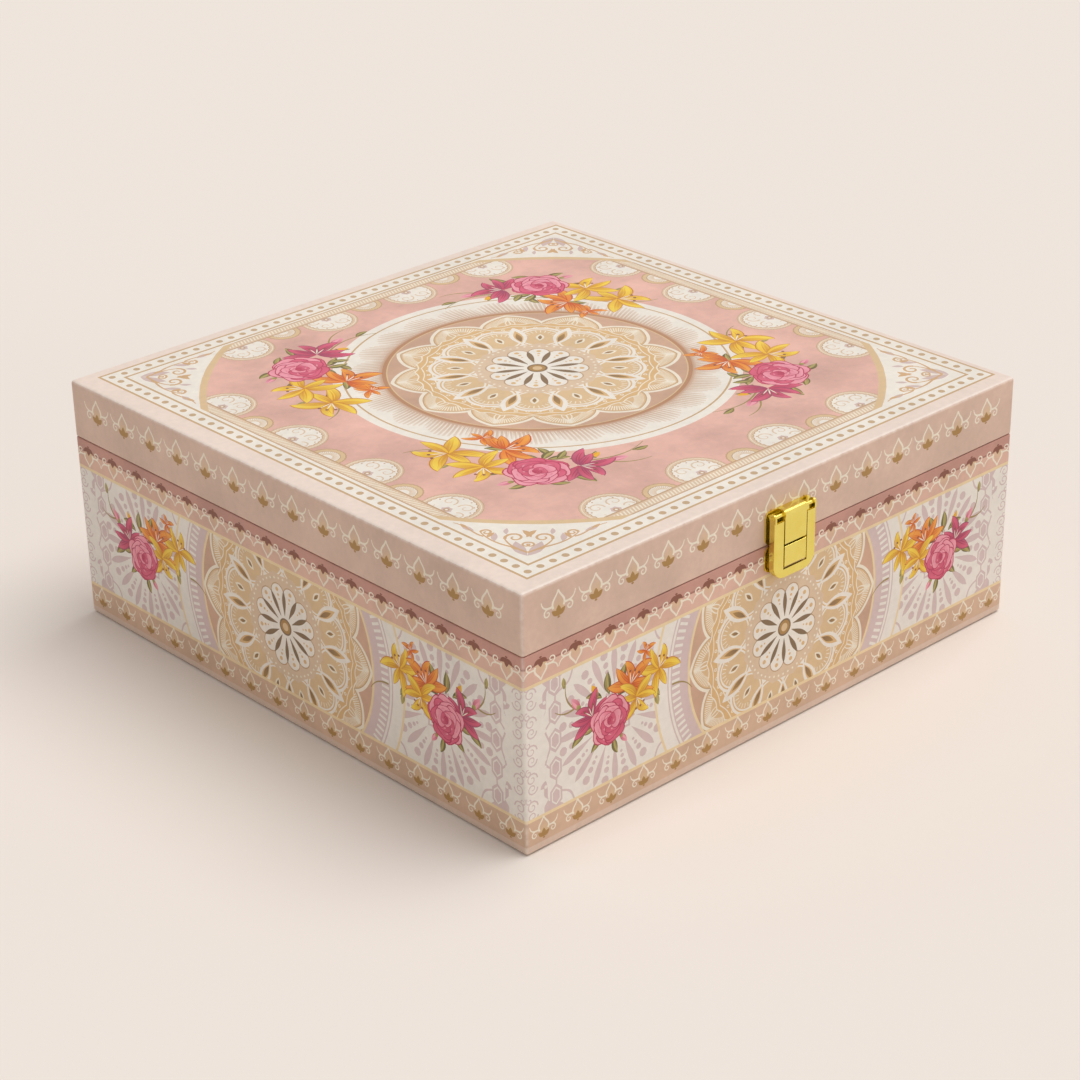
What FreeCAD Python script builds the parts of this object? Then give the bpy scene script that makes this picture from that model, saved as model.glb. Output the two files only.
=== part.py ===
"""Hinged sweet box: a board base and lid covered in printed paper, with two stop hinges and a gilt latch.

The frame has its origin in the middle of the underside, +Z up, the latch on the -Y face and the
hinges on the +Y face. Lengths are in millimetres and angles in degrees.
"""
import FreeCAD, Part
import math
import os
import re

import Sketcher

# Driving sizes, one cell of the sheet each
SIZES = {
    # Box over its paper
    "box_width": 250,
    "box_depth": 250,
    "base_height": 75,
    "lid_height": 22.7,
    "parting_gap": 0.3,
    # Boards: walls and rims, floor and lid panel, and the ledges that take the panels' edges
    "wall_board": 5,
    "panel_board": 3,
    "rebate_share": 0.5,
    "panel_clearance": 0.2,
    "edge_radius": 1,
    # Covering paper, lining and the sheet that closes the underside
    "paper": 0.3,
    "turn_in": 12,
    "turn_under": 14,
    "lining": 0.4,
    "sheet_inset": 4,
    # Hinges: leaves, knuckles, pins and the tongue that stops the lid
    "hinge_offset": 72,
    "leaf_width": 24,
    "leaf_reach": 13,
    "leaf_metal": 0.8,
    "leaf_corner": 2,
    "knuckle_radius": 1.7,
    "knuckle_standoff": 0.3,
    "lid_knuckle_length": 8,
    "knuckle_play": 0.2,
    "hinge_pin_radius": 0.85,
    "pin_clearance": 0.05,
    "pin_cap_radius": 1.35,
    "pin_cap_height": 0.6,
    "stop_length": 4.4,
    "stop_clearance": 0.1,
    "lid_opening": 105,
    # Round-headed pins that hold the hinge leaves and the latch plates
    "tack_radius": 0.8,
    "tack_tip_cover": 1.3,
    "tack_head_radius": 1.5,
    "tack_head_height": 0.6,
    "tack_clearance": 0.05,
    "leaf_tack_margin": 4,
    # Latch: two plates on the walls, a pin and a swinging frame
    "latch_width": 21,
    "latch_arm": 4.5,
    "latch_bar": 3.5,
    "latch_depth": 2.6,
    "latch_metal": 0.8,
    "latch_corner": 5.5,
    "latch_drop": 24,
    "latch_axis_rise": 11.3,
    "latch_axis_reach": 2.7,
    "latch_knuckle_radius": 1.75,
    "latch_pin_radius": 0.75,
    "latch_play": 0.5,
    "latch_foot_play": 0.9,
    "latch_throat": 1.9,
    "latch_pin_proud": 0.3,
    "latch_edge": 0.6,
    "plate_metal": 0.6,
    "plate_corner": 2.5,
    "plate_margin": 0.2,
    "plate_lip": 1,
    "plate_foot": 2.4,
    "boss_proud": 0.3,
    "boss_edge": 0.4,
    # How far a cutting shape runs past what it cuts
    "overrun": 5,
}

# Places worked out from the driving sizes, as formulas that the expressions below take in
PLACES = {
    "half_width": "(box_width / 2)",
    "half_depth": "(box_depth / 2)",
    "board_x": "(half_width - paper)",
    "board_y": "(half_depth - paper)",
    "inner_x": "(board_x - wall_board)",
    "inner_y": "(board_y - wall_board)",
    "rebate_depth": "(wall_board * rebate_share)",
    "panel_x": "(inner_x + rebate_depth - panel_clearance)",
    "panel_y": "(inner_y + rebate_depth - panel_clearance)",
    "board_bottom": "(2 * paper)",
    "floor_top": "(board_bottom + panel_board)",
    "base_board_top": "(base_height - paper)",
    "lid_bottom": "(base_height + parting_gap)",
    "lid_board_bottom": "(lid_bottom + paper)",
    "lid_top": "(lid_bottom + lid_height)",
    "lid_board_top": "(lid_top - paper)",
    "ceiling": "(lid_board_top - panel_board)",
    "parting": "(base_height + parting_gap / 2)",
    "hinge_y": "(half_depth + knuckle_standoff + knuckle_radius)",
    "hinge_bore": "(hinge_pin_radius + pin_clearance)",
    "notch_reach": "(knuckle_radius + knuckle_standoff)",
    "tack_hole": "(tack_radius + tack_clearance)",
    "tack_depth": "(paper + wall_board - tack_tip_cover)",
    "dome_radius": "((tack_head_radius ^ 2 + tack_head_height ^ 2) / (2 * tack_head_height))",
    "leaf_tack_spread": "(leaf_width / 2 - leaf_tack_margin)",
    "leaf_tack_reach": "(leaf_reach - leaf_tack_margin)",
    "plate_tack_spread": "((latch_width - latch_arm - latch_metal) / 2)",
    "plate_tack_reach": "(latch_axis_rise / 2)",
    "latch_y": "(-half_depth - latch_axis_reach)",
    "latch_z": "(parting + latch_axis_rise)",
    "latch_front": "(latch_axis_reach + latch_knuckle_radius)",
    "latch_bore": "(latch_pin_radius + pin_clearance)",
    "window_half": "(latch_width / 2 - latch_arm)",
    "window_bottom": "(latch_z - latch_drop + latch_bar)",
    "arm_top": "(latch_z - latch_throat)",
    "arm_inside": "(latch_width / 2 - latch_metal)",
    "boss_half": "(window_half - latch_play)",
    "frame_front": "(latch_front - boss_proud)",
    "ear_radius": "(latch_knuckle_radius - boss_proud)",
    "plate_half": "(latch_width / 2 + plate_lip)",
    "hanger_bottom": "(lid_bottom + plate_margin)",
    "hanger_top": "(latch_z + latch_knuckle_radius)",
    "catch_top": "(base_height - plate_margin)",
    "catch_bottom": "(latch_z - latch_drop + plate_foot)",
}

# The four walls in turn: their side, the plane of their profile, where it lies and half their length
WALL_SIDES = ("front", "back", "left", "right")
WALL_PLANES = ("YZ_Plane", "YZ_Plane", "XZ_Plane", "XZ_Plane")
WALL_SIGNS = (-1, 1, -1, 1)
WALL_SPANS = ("board_x", "board_x", "inner_y", "inner_y")

# Shares that tell when a point lies on a face of a bounding box and when a face is level
SAME_PLACE_SHARE = 1e-6
LEVEL_SHARE = 0.99

doc = FreeCAD.newDocument("sweet_box")
pieces = []

sheet = doc.addObject("Spreadsheet::Sheet", "Sizes")
for row, (alias, value) in enumerate(SIZES.items(), start=1):
    sheet.set(f"A{row}", alias)
    sheet.set(f"B{row}", str(value))
    sheet.setAlias(f"B{row}", alias)
doc.recompute()


def formula(text):
    """Write a formula out in cells of the sheet, with each worked-out place replaced by its own formula."""
    word = re.compile(r"[a-z]+(?:_[a-z]+)*")
    while any(name in PLACES for name in word.findall(text)):
        text = word.sub(lambda found: PLACES.get(found.group(), found.group()), text)
    return word.sub(lambda found: ("Sizes." if found.group() in SIZES else "") + found.group(), text)


def bind(item, **settings):
    """Bind properties of an object to formulas; a double underscore is the dot in a property's path."""
    for path, text in settings.items():
        item.setExpression(path.replace("__", "."), formula(text))


def new_body(label):
    """Start a sub-part that is built from sketches."""
    body = doc.addObject("PartDesign::Body", label)
    body.Label = label
    pieces.append(body)
    return body


def sketch_on(body, plane, offset="0"):
    """Add a sketch on one of the body's own origin planes, moved along that plane's normal."""
    sketch = body.newObject("Sketcher::SketchObject", body.Label + "_sketch")
    support = next(item for item in body.Origin.OriginFeatures if item.Role == plane)
    sketch.AttachmentSupport = (support, [""])
    sketch.MapMode = "FlatFace"
    bind(sketch, AttachmentOffset__Base__z=offset)
    return sketch


def fix_point(sketch, edge, end, across, up):
    """Hold one point of a sketch at the two formulas, measured from the sketch's origin."""
    for kind, text in (("DistanceX", across), ("DistanceY", up)):
        number = sketch.addConstraint(Sketcher.Constraint(kind, -1, 1, edge, end, 1.0))
        sketch.setExpression(f"Constraints[{number}]", formula(text))


def draw_outline(sketch, corners):
    """Draw a closed outline through corners that are given as pairs of formulas."""
    turn = 2 * math.pi / len(corners)
    starts = [FreeCAD.Vector(math.cos(turn * i), math.sin(turn * i), 0) for i in range(len(corners))]
    ends = starts[1:] + starts[:1]
    edges = [sketch.addGeometry(Part.LineSegment(a, b)) for a, b in zip(starts, ends)]
    for edge, following in zip(edges, edges[1:] + edges[:1]):
        sketch.addConstraint(Sketcher.Constraint("Coincident", edge, 2, following, 1))
    for edge, (across, up) in zip(edges, corners):
        fix_point(sketch, edge, 1, across, up)


def draw_rectangle(sketch, left, bottom, right, top):
    """Draw an upright rectangle between two corners."""
    draw_outline(sketch, [(left, bottom), (right, bottom), (right, top), (left, top)])


def draw_circle(sketch, across, up, radius):
    """Draw a circle about a point."""
    edge = sketch.addGeometry(Part.Circle(FreeCAD.Vector(0, 0, 0), FreeCAD.Vector(0, 0, 1), 1.0))
    fix_point(sketch, edge, 3, across, up)
    number = sketch.addConstraint(Sketcher.Constraint("Radius", edge, 1.0))
    sketch.setExpression(f"Constraints[{number}]", formula(radius))


def extrude(kind, body, sketch, length, both_ways=False, reverse=False):
    """Pad or pocket a sketch, and check that a pocket took something away."""
    before = body.Shape.Volume if kind == "Pocket" else 0
    feature = body.newObject("PartDesign::" + kind, body.Label + "_" + kind.lower())
    feature.Profile = sketch
    bind(feature, Length=length)
    feature.SideType = "Symmetric" if both_ways else "One side"
    feature.Reversed = reverse
    doc.recompute()
    if kind == "Pocket" and not body.Shape.Volume < before:
        raise RuntimeError(f"{feature.Label} cuts nothing")
    return feature


def pad(body, sketch, length, **options):
    """Add the sketch, drawn out by a length."""
    return extrude("Pad", body, sketch, length, **options)


def pocket(body, sketch, length, **options):
    """Take away the sketch, drawn out by a length, against the plane's normal unless reversed."""
    return extrude("Pocket", body, sketch, length, **options)


def sides(point, box):
    """Name the faces of a bounding box that a point lies on."""
    places = {
        "left": (point.x, box.XMin),
        "right": (point.x, box.XMax),
        "front": (point.y, box.YMin),
        "back": (point.y, box.YMax),
        "bottom": (point.z, box.ZMin),
        "top": (point.z, box.ZMax),
    }
    reach = box.DiagonalLength * SAME_PLACE_SHARE
    return {name for name, (here, there) in places.items() if math.isclose(here, there, abs_tol=reach)}


def round_edges(body, radius, wanted):
    """Round the edges that wanted picks by the faces of the bounding box that their middle lies on."""
    names = []
    for number, edge in enumerate(body.Shape.Edges, start=1):
        middle = edge.valueAt((edge.FirstParameter + edge.LastParameter) / 2)
        if wanted(sides(middle, body.Shape.BoundBox)):
            names.append(f"Edge{number}")
    base = body.Tip
    feature = body.newObject("PartDesign::Fillet", body.Label + "_rounding")
    feature.Base = (base, names)
    bind(feature, Radius=radius)
    doc.recompute()


def hollow(body, wall, opened):
    """Leave a wall behind every face but the flat ones that opened picks."""
    names = []
    for number, face in enumerate(body.Shape.Faces, start=1):
        if face.Surface.TypeId == "Part::GeomPlane" and opened(face):
            names.append(f"Face{number}")
    base = body.Tip
    before = body.Shape.Volume
    feature = body.newObject("PartDesign::Thickness", body.Label + "_skin")
    feature.Base = (base, names)
    feature.Mode = "Skin"
    feature.Join = "Arc"
    feature.Reversed = True
    bind(feature, Value=wall)
    doc.recompute()
    if not body.Shape.Volume < before:
        raise RuntimeError(f"{feature.Label} takes nothing away")


def make_board(label, half_x, half_y, bottom, thickness):
    """Make a flat rectangular piece about the middle of the box."""
    board = doc.addObject("Part::Box", label)
    board.Label = label
    bind(board, Length=f"2 * {half_x}", Width=f"2 * {half_y}", Height=thickness)
    bind(board, Placement__Base__x=f"-{half_x}", Placement__Base__y=f"-{half_y}", Placement__Base__z=bottom)
    pieces.append(board)


def make_walls(names, foot, shoulder, rim, rounded):
    """Make four walls, rebated on the inside from foot to shoulder, with the side walls between the others.

    rounded names the outer side at the foot, bottom or top, whose edges are eased with the upright corners.
    """
    for name, plane, sign, span in zip(names, WALL_PLANES, WALL_SIGNS, WALL_SPANS):
        along_depth = plane == "YZ_Plane"
        outer, inner = ("board_y", "inner_y") if along_depth else ("board_x", "inner_x")
        body = new_body(name)
        profile = sketch_on(body, plane)
        face, lip, inside = f"{sign} * {outer}", f"{sign} * ({inner} + rebate_depth)", f"{sign} * {inner}"
        draw_outline(profile, [
            (face, foot), (lip, foot), (lip, shoulder), (inside, shoulder), (inside, rim), (face, rim),
        ])
        pad(body, profile, f"2 * {span}", both_ways=True)
        outward = name.split("_")[1]
        ends = {"left", "right"} if along_depth else set()
        eased = [{outward, rounded}] + [{outward, end} for end in ends] + [{rounded, end} for end in ends]
        round_edges(body, "edge_radius", lambda found: any(pair <= found for pair in eased))


def drill(body, plane_y, places, radius, depth, reverse):
    """Sink round holes along Y from an upright plane across the depth, at pairs of X and Z formulas."""
    sketch = sketch_on(body, "XZ_Plane", f"-({plane_y})")
    for across, up in places:
        draw_circle(sketch, across, up, radius)
    pocket(body, sketch, depth, reverse=reverse)


def make_lining(label, bottom, top):
    """Make the lining sheet that goes round the inside of the walls."""
    body = new_body(label)
    ring = sketch_on(body, "XY_Plane", bottom)
    draw_rectangle(ring, "-inner_x", "-inner_y", "inner_x", "inner_y")
    clear_x, clear_y = "(inner_x - lining)", "(inner_y - lining)"
    draw_rectangle(ring, f"-{clear_x}", f"-{clear_y}", clear_x, clear_y)
    pad(body, ring, f"{top} - {bottom}")


def make_wrap(label, bottom, height, rounded, rim):
    """Make a covering sheet as a skin over a block whose recess is as deep as the paper is turned in.

    rounded is the folded end, bottom or top, and rim the level of the edge that the paper is turned over.
    """
    body = new_body(label)
    block = sketch_on(body, "XY_Plane", bottom)
    draw_rectangle(block, "-half_width", "-half_depth", "half_width", "half_depth")
    pad(body, block, height)
    upright = [{x, y} for x in ("left", "right") for y in ("front", "back")]
    folded = [{rounded, side} for side in ("left", "right", "front", "back")]
    round_edges(body, "edge_radius + paper", lambda found: any(pair <= found for pair in upright + folded))
    recess = sketch_on(body, "XY_Plane", rim)
    flap_x, flap_y = "(inner_x - paper)", "(inner_y - paper)"
    draw_rectangle(recess, f"-{flap_x}", f"-{flap_y}", flap_x, flap_y)
    pocket(body, recess, "turn_in", reverse=rounded == "top")
    outer_levels = (body.Shape.BoundBox.ZMin, body.Shape.BoundBox.ZMax)
    hollow(body, "paper", lambda face: abs(face.normalAt(0, 0).z) > LEVEL_SHARE and not any(
        math.isclose(face.CenterOfMass.z, level) for level in outer_levels))
    return body


def make_tacks(label, places, face_y, metal, outward):
    """Make round-headed pins through sheet metal on an upright face, at pairs of X and Z formulas."""
    turned = FreeCAD.Rotation(FreeCAD.Vector(1, 0, 0), -90 * outward)
    dome_y = f"({face_y} + {outward} * ({metal} + tack_head_height - dome_radius))"
    tacks = []
    for across, up in places:
        shank = doc.addObject("Part::Cylinder", label + "_shank")
        shank.Placement.Rotation = turned
        bind(shank, Radius="tack_radius", Height=f"{metal} + tack_depth")
        bind(shank, Placement__Base__y=f"{face_y} - {outward} * tack_depth")
        head = doc.addObject("Part::Sphere", label + "_head")
        head.Placement.Rotation = turned
        bind(head, Radius="dome_radius", Angle1="asin(1 - tack_head_height / dome_radius)")
        bind(head, Placement__Base__y=dome_y)
        for item in (shank, head):
            bind(item, Placement__Base__x=across, Placement__Base__z=up)
        tack = doc.addObject("Part::Fuse", label + "_tack")
        tack.Base = shank
        tack.Tool = head
        tacks.append(tack)
    group = doc.addObject("Part::Compound", label)
    group.Label = label
    group.Links = tacks
    pieces.append(group)


def make_leaf(label, centre, way):
    """Make one hinge leaf: a plate on the back wall, rolled round the pin and notched for its mate.

    way is -1 for the leaf that goes down the base and 1 for the one that goes up the lid. The lid's leaf
    has a tongue that comes to lie flat on the base's leaf when the lid is fully open.
    """
    body = new_body(label)
    half = "leaf_width / 2"
    plate = sketch_on(body, "XZ_Plane", "-half_depth")
    low, high = ("parting - leaf_reach", "parting") if way < 0 else ("parting", "parting + leaf_reach")
    draw_rectangle(plate, f"{centre} - {half}", low, f"{centre} + {half}", high)
    pad(body, plate, "leaf_metal", reverse=True)
    far_end = "bottom" if way < 0 else "top"
    round_edges(body, "leaf_corner", lambda found: far_end in found and bool(found & {"left", "right"}))
    roll = sketch_on(body, "YZ_Plane", centre)
    draw_circle(roll, "hinge_y", "parting", "knuckle_radius")
    pad(body, roll, "leaf_width", both_ways=True)
    notch = sketch_on(body, "XZ_Plane", "-half_depth")
    half_knuckle = "lid_knuckle_length / 2"
    below, above = "parting - notch_reach", "parting + notch_reach"
    if way < 0:
        gap = f"({half_knuckle} + knuckle_play)"
        draw_rectangle(notch, f"{centre} - {gap}", below, f"{centre} + {gap}", above)
    else:
        end = f"({half} + overrun)"
        draw_rectangle(notch, f"{centre} - {end}", below, f"{centre} - {half_knuckle}", above)
        draw_rectangle(notch, f"{centre} + {half_knuckle}", below, f"{centre} + {end}", above)
    pocket(body, notch, "2 * knuckle_radius + overrun")
    if way > 0:
        add_stop(body, centre)
    bore = sketch_on(body, "YZ_Plane", centre)
    draw_circle(bore, "hinge_y", "parting", "hinge_bore")
    pocket(body, bore, "leaf_width + overrun", both_ways=True)
    drill(body, "half_depth", leaf_tack_places(centre, way), "tack_hole", "leaf_metal + overrun", False)


def add_stop(body, centre):
    """Add the stop tongue, drawn where it meets the base's leaf and swung back to the closed lid."""
    near = "(leaf_metal + stop_clearance - notch_reach)"
    far = f"({near} + leaf_metal)"
    corners = []
    for across, up in ((near, "0"), (near, "-stop_length"), (far, "-stop_length"), (far, "0")):
        y = f"hinge_y + {across} * cos(lid_opening) - ({up}) * sin(lid_opening)"
        z = f"parting + {across} * sin(lid_opening) + ({up}) * cos(lid_opening)"
        corners.append((y, z))
    tongue = sketch_on(body, "YZ_Plane", centre)
    draw_outline(tongue, corners)
    pad(body, tongue, "lid_knuckle_length", both_ways=True)


def make_hinge_pin(label, centre):
    """Make a hinge pin with a flat cap at each end."""
    body = new_body(label)
    shaft = sketch_on(body, "YZ_Plane", centre)
    draw_circle(shaft, "hinge_y", "parting", "hinge_pin_radius")
    cap_from = "(leaf_width / 2 + knuckle_play)"
    pad(body, shaft, f"2 * {cap_from}", both_ways=True)
    for sign in (-1, 1):
        cap = sketch_on(body, "YZ_Plane", f"{centre} + {sign} * {cap_from}")
        draw_circle(cap, "hinge_y", "parting", "pin_cap_radius")
        pad(body, cap, "pin_cap_height", reverse=sign < 0)


def leaf_tack_places(centre, way):
    """Give the places of one leaf's two pins."""
    up = f"parting + {way} * leaf_tack_reach"
    return [(f"{centre} + {sign} * leaf_tack_spread", up) for sign in (-1, 1)]


def plate_tack_places(way):
    """Give the places of one latch plate's two pins."""
    up = f"parting + {way} * plate_tack_reach"
    return [(f"{sign} * plate_tack_spread", up) for sign in (-1, 1)]


def make_latch_plate(label, low, high, boss_low, boss_high, way):
    """Make a latch plate on the front wall, with the boss that fills half of the frame's window."""
    body = new_body(label)
    plate = sketch_on(body, "XZ_Plane", "half_depth")
    draw_rectangle(plate, "-plate_half", low, "plate_half", high)
    pad(body, plate, "plate_metal")
    round_edges(body, "plate_corner", lambda found: len(found & {"left", "right", "top", "bottom"}) > 1)
    boss = sketch_on(body, "XZ_Plane", "half_depth")
    draw_rectangle(boss, "-boss_half", boss_low, "boss_half", boss_high)
    pad(body, boss, "latch_front")
    round_edges(body, "boss_edge", lambda found: "front" in found)
    drill(body, "-half_depth", plate_tack_places(way), "tack_hole", "plate_metal + overrun", True)
    return body


def add_hanger_knuckle(body):
    """Add the knuckle at the top of the lid's latch plate, with the fold that carries it, and bore it."""
    knuckle = sketch_on(body, "YZ_Plane")
    draw_circle(knuckle, "latch_y", "latch_z", "latch_knuckle_radius")
    pad(body, knuckle, "2 * boss_half", both_ways=True)
    fold = sketch_on(body, "YZ_Plane")
    draw_rectangle(fold, "latch_y", "latch_z", "-half_depth", "hanger_top")
    pad(body, fold, "2 * boss_half", both_ways=True)
    bore = sketch_on(body, "YZ_Plane")
    draw_circle(bore, "latch_y", "latch_z", "latch_bore")
    pocket(body, bore, "latch_width + overrun", both_ways=True)


def make_latch_frame(label):
    """Make the swinging frame: a pressed tray cut out for the bosses, with an ear for the pin at each side."""
    body = new_body(label)
    tray = sketch_on(body, "XZ_Plane", "half_depth + frame_front")
    draw_rectangle(tray, "-latch_width / 2", "latch_z - latch_drop", "latch_width / 2", "arm_top")
    pad(body, tray, "latch_depth", reverse=True)
    round_edges(body, "latch_corner", lambda found: "bottom" in found and bool(found & {"left", "right"}))
    box = body.Shape.BoundBox
    hollow(body, "latch_metal", lambda face: bool({"back", "top"} & sides(face.CenterOfMass, box)))
    round_edges(body, "latch_edge", lambda found: "front" in found and "top" not in found)
    ears = sketch_on(body, "YZ_Plane")
    front_y = "-half_depth - frame_front"
    draw_rectangle(ears, front_y, "arm_top", f"{front_y} + latch_depth", "latch_z")
    pad(body, ears, "latch_width", both_ways=True)
    ear_ends = sketch_on(body, "YZ_Plane")
    draw_circle(ear_ends, "latch_y", "latch_z", "ear_radius")
    pad(body, ear_ends, "latch_width", both_ways=True)
    throat = sketch_on(body, "XZ_Plane", "half_depth + frame_front")
    draw_rectangle(throat, "-arm_inside", "arm_top", "arm_inside", "latch_z + overrun")
    pocket(body, throat, "latch_depth + overrun")
    bore = sketch_on(body, "YZ_Plane")
    draw_circle(bore, "latch_y", "latch_z", "latch_bore")
    pocket(body, bore, "latch_width + overrun", both_ways=True)
    window = sketch_on(body, "XZ_Plane", "half_depth + frame_front")
    draw_rectangle(window, "-window_half", "window_bottom", "window_half", "latch_z + overrun")
    pocket(body, window, "latch_depth + overrun")


def make_latch_pin(label):
    """Make the pin that the frame swings on, with its ends a little proud of the frame's ears."""
    body = new_body(label)
    shaft = sketch_on(body, "YZ_Plane")
    draw_circle(shaft, "latch_y", "latch_z", "latch_pin_radius")
    pad(body, shaft, "latch_width + 2 * latch_pin_proud", both_ways=True)


HINGES = {"left": "-hinge_offset", "right": "hinge_offset"}
lower_leaf_tacks = [place for centre in HINGES.values() for place in leaf_tack_places(centre, -1)]
upper_leaf_tacks = [place for centre in HINGES.values() for place in leaf_tack_places(centre, 1)]
pilot_depth = "tack_depth - paper + tack_clearance"

# Boards of the base and the lid, each wall drilled for the pins that go into it
make_board("base_floor", "panel_x", "panel_y", "board_bottom", "panel_board")
base_walls = [f"base_{side}_wall" for side in WALL_SIDES]
make_walls(base_walls, "board_bottom", "floor_top", "base_board_top", "bottom")
make_board("lid_panel", "panel_x", "panel_y", "ceiling", "panel_board")
lid_rims = [f"lid_{side}_rim" for side in WALL_SIDES]
make_walls(lid_rims, "lid_board_top", "ceiling", "lid_board_bottom", "top")
for label, place_list, level, reverse in (
    ("base_front_wall", plate_tack_places(-1), "-board_y", False),
    ("lid_front_rim", plate_tack_places(1), "-board_y", False),
    ("base_back_wall", lower_leaf_tacks, "board_y", True),
    ("lid_back_rim", upper_leaf_tacks, "board_y", True),
):
    drill(doc.getObject(label), level, place_list, "tack_hole", pilot_depth, reverse)

# Printed paper over the boards, turned in at the rims and under the base
base_wrap = make_wrap("base_wrap", "paper", "base_height - paper", "bottom", "base_height")
opening = sketch_on(base_wrap, "XY_Plane", "board_bottom")
flap_x, flap_y = "(half_width - turn_under)", "(half_depth - turn_under)"
draw_rectangle(opening, f"-{flap_x}", f"-{flap_y}", flap_x, flap_y)
pocket(base_wrap, opening, "paper + overrun")
drill(base_wrap, "-half_depth", plate_tack_places(-1), "tack_hole", "2 * paper", False)
drill(base_wrap, "half_depth", lower_leaf_tacks, "tack_hole", "2 * paper", True)
lid_wrap = make_wrap("lid_wrap", "lid_bottom", "lid_height", "top", "lid_bottom")
drill(lid_wrap, "-half_depth", plate_tack_places(1), "tack_hole", "2 * paper", False)
drill(lid_wrap, "half_depth", upper_leaf_tacks, "tack_hole", "2 * paper", True)

# Linings inside and the sheet under the base
make_lining("base_wall_lining", "floor_top", "(base_height - turn_in)")
make_board("base_floor_lining", "(inner_x - lining)", "(inner_y - lining)", "floor_top", "lining")
make_board("base_underside_sheet", "(half_width - sheet_inset)", "(half_depth - sheet_inset)", "0", "paper")
make_lining("lid_rim_lining", "(lid_bottom + turn_in)", "ceiling")
make_board("lid_ceiling_lining", "(inner_x - lining)", "(inner_y - lining)", "ceiling - lining", "lining")

# Hinges on the back
for side, centre in HINGES.items():
    make_leaf(f"hinge_base_leaf_{side}", centre, -1)
    make_leaf(f"hinge_lid_leaf_{side}", centre, 1)
    make_hinge_pin(f"hinge_pin_{side}", centre)
make_tacks("hinge_base_tacks", lower_leaf_tacks, "half_depth", "leaf_metal", 1)
make_tacks("hinge_lid_tacks", upper_leaf_tacks, "half_depth", "leaf_metal", 1)

# Latch on the front
hanger = make_latch_plate(
    "latch_hanger_plate", "hanger_bottom", "hanger_top", "hanger_bottom", "latch_z", 1)
add_hanger_knuckle(hanger)
make_latch_plate(
    "latch_catch_plate", "catch_bottom", "catch_top", "window_bottom + latch_foot_play", "catch_top", -1)
make_latch_pin("latch_pin")
make_latch_frame("latch_frame")
make_tacks("latch_hanger_tacks", plate_tack_places(1), "(-half_depth)", "plate_metal", -1)
make_tacks("latch_catch_tacks", plate_tack_places(-1), "(-half_depth)", "plate_metal", -1)

doc.recompute()
failed = [item.Label for item in doc.Objects if {"Invalid", "Error"} & set(item.State)]
failed += [piece.Label for piece in pieces if piece.Shape.isNull() or not piece.Shape.isValid()]
if failed:
    raise RuntimeError("These objects did not build: " + ", ".join(failed))

os.makedirs("parts", exist_ok=True)
for piece in pieces:
    piece.Shape.exportStep(f"parts/{piece.Label}.step")
    print(piece.Label, len(piece.Shape.Solids), round(piece.Shape.Volume, 2))
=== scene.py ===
"""Printed sweet box: board covered with printed paper, a hinged lid, plain linings and a gilt latch.

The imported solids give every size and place. Each printed face is first drawn flat, in millimetres, as
outlines of ink laid one over the other. The sheet is then cut along those outlines and folded round the
box.
"""

import math
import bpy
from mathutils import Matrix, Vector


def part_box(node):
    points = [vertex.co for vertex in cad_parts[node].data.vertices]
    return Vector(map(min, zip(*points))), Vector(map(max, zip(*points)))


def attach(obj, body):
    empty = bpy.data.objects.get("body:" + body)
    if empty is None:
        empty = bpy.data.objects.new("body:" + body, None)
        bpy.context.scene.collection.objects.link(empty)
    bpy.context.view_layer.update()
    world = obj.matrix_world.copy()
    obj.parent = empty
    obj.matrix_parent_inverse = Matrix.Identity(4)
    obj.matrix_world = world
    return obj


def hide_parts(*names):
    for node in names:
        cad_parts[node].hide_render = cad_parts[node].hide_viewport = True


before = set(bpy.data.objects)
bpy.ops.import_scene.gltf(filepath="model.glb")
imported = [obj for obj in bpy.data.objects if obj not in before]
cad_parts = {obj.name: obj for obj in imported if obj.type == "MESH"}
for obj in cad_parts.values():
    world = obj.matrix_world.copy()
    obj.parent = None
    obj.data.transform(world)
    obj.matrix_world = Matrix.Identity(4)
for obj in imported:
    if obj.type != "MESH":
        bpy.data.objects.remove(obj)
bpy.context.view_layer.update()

from types import SimpleNamespace

import bmesh
import bpy
import numpy as np
from mathutils import Matrix, Vector
from mathutils.geometry import delaunay_2d_cdt

bl_info = {
    "name": "Printed sweet box",
    "version": (1, 0, 0),
    "blender": (4, 5, 0),
    "location": "View3D > Sidebar > Sweet Box",
    "description": "Dresses a hinged board box in printed paper, linings and gilt fittings",
    "category": "Object",
}

MM = 0.001
CHORD_ERROR = 0.03  # most that a chord may leave its circle, in millimetres
MERGE = 1e-4  # points of a sheet nearer than this are one point, in millimetres
STRAIGHT = math.radians(3)  # points at which an ink's edge turns by less than this are left out
PAPER = 0.3  # thickness of the covering paper, in millimetres
TURN_UNDER = 14  # width of the paper that is turned under the base, in millimetres
RIM_RADIUS = 0.5  # outside radius where the paper turns over a rim, in millimetres
FOLD_RADIUS = 1.3  # outside radius of the paper at a folded edge, in millimetres
FOLD_STEPS = 4  # chords in a fold's quarter circle
FOLD_LINES = np.linspace(0, FOLD_RADIUS, FOLD_STEPS + 1)[1:]  # where the paper bends, from a folded edge
CLOUDED = {"field": 1.0, "taupe": 0.6, "peach": 0.7, "chain": 0.7, "rose_band": 0.6, "disc": 0.8}
CLOUDED_LITTLE = 0.3  # how strongly the print clouds an ink that the line above leaves out
NOISE_SPAN = {"From_Min": 0.3, "From_Max": 0.7}  # values between which most of a noise lies
FLOOR_REACH = 8.0  # middle of the stage's floor to its edges, in metres


# Values that a user would change


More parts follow.
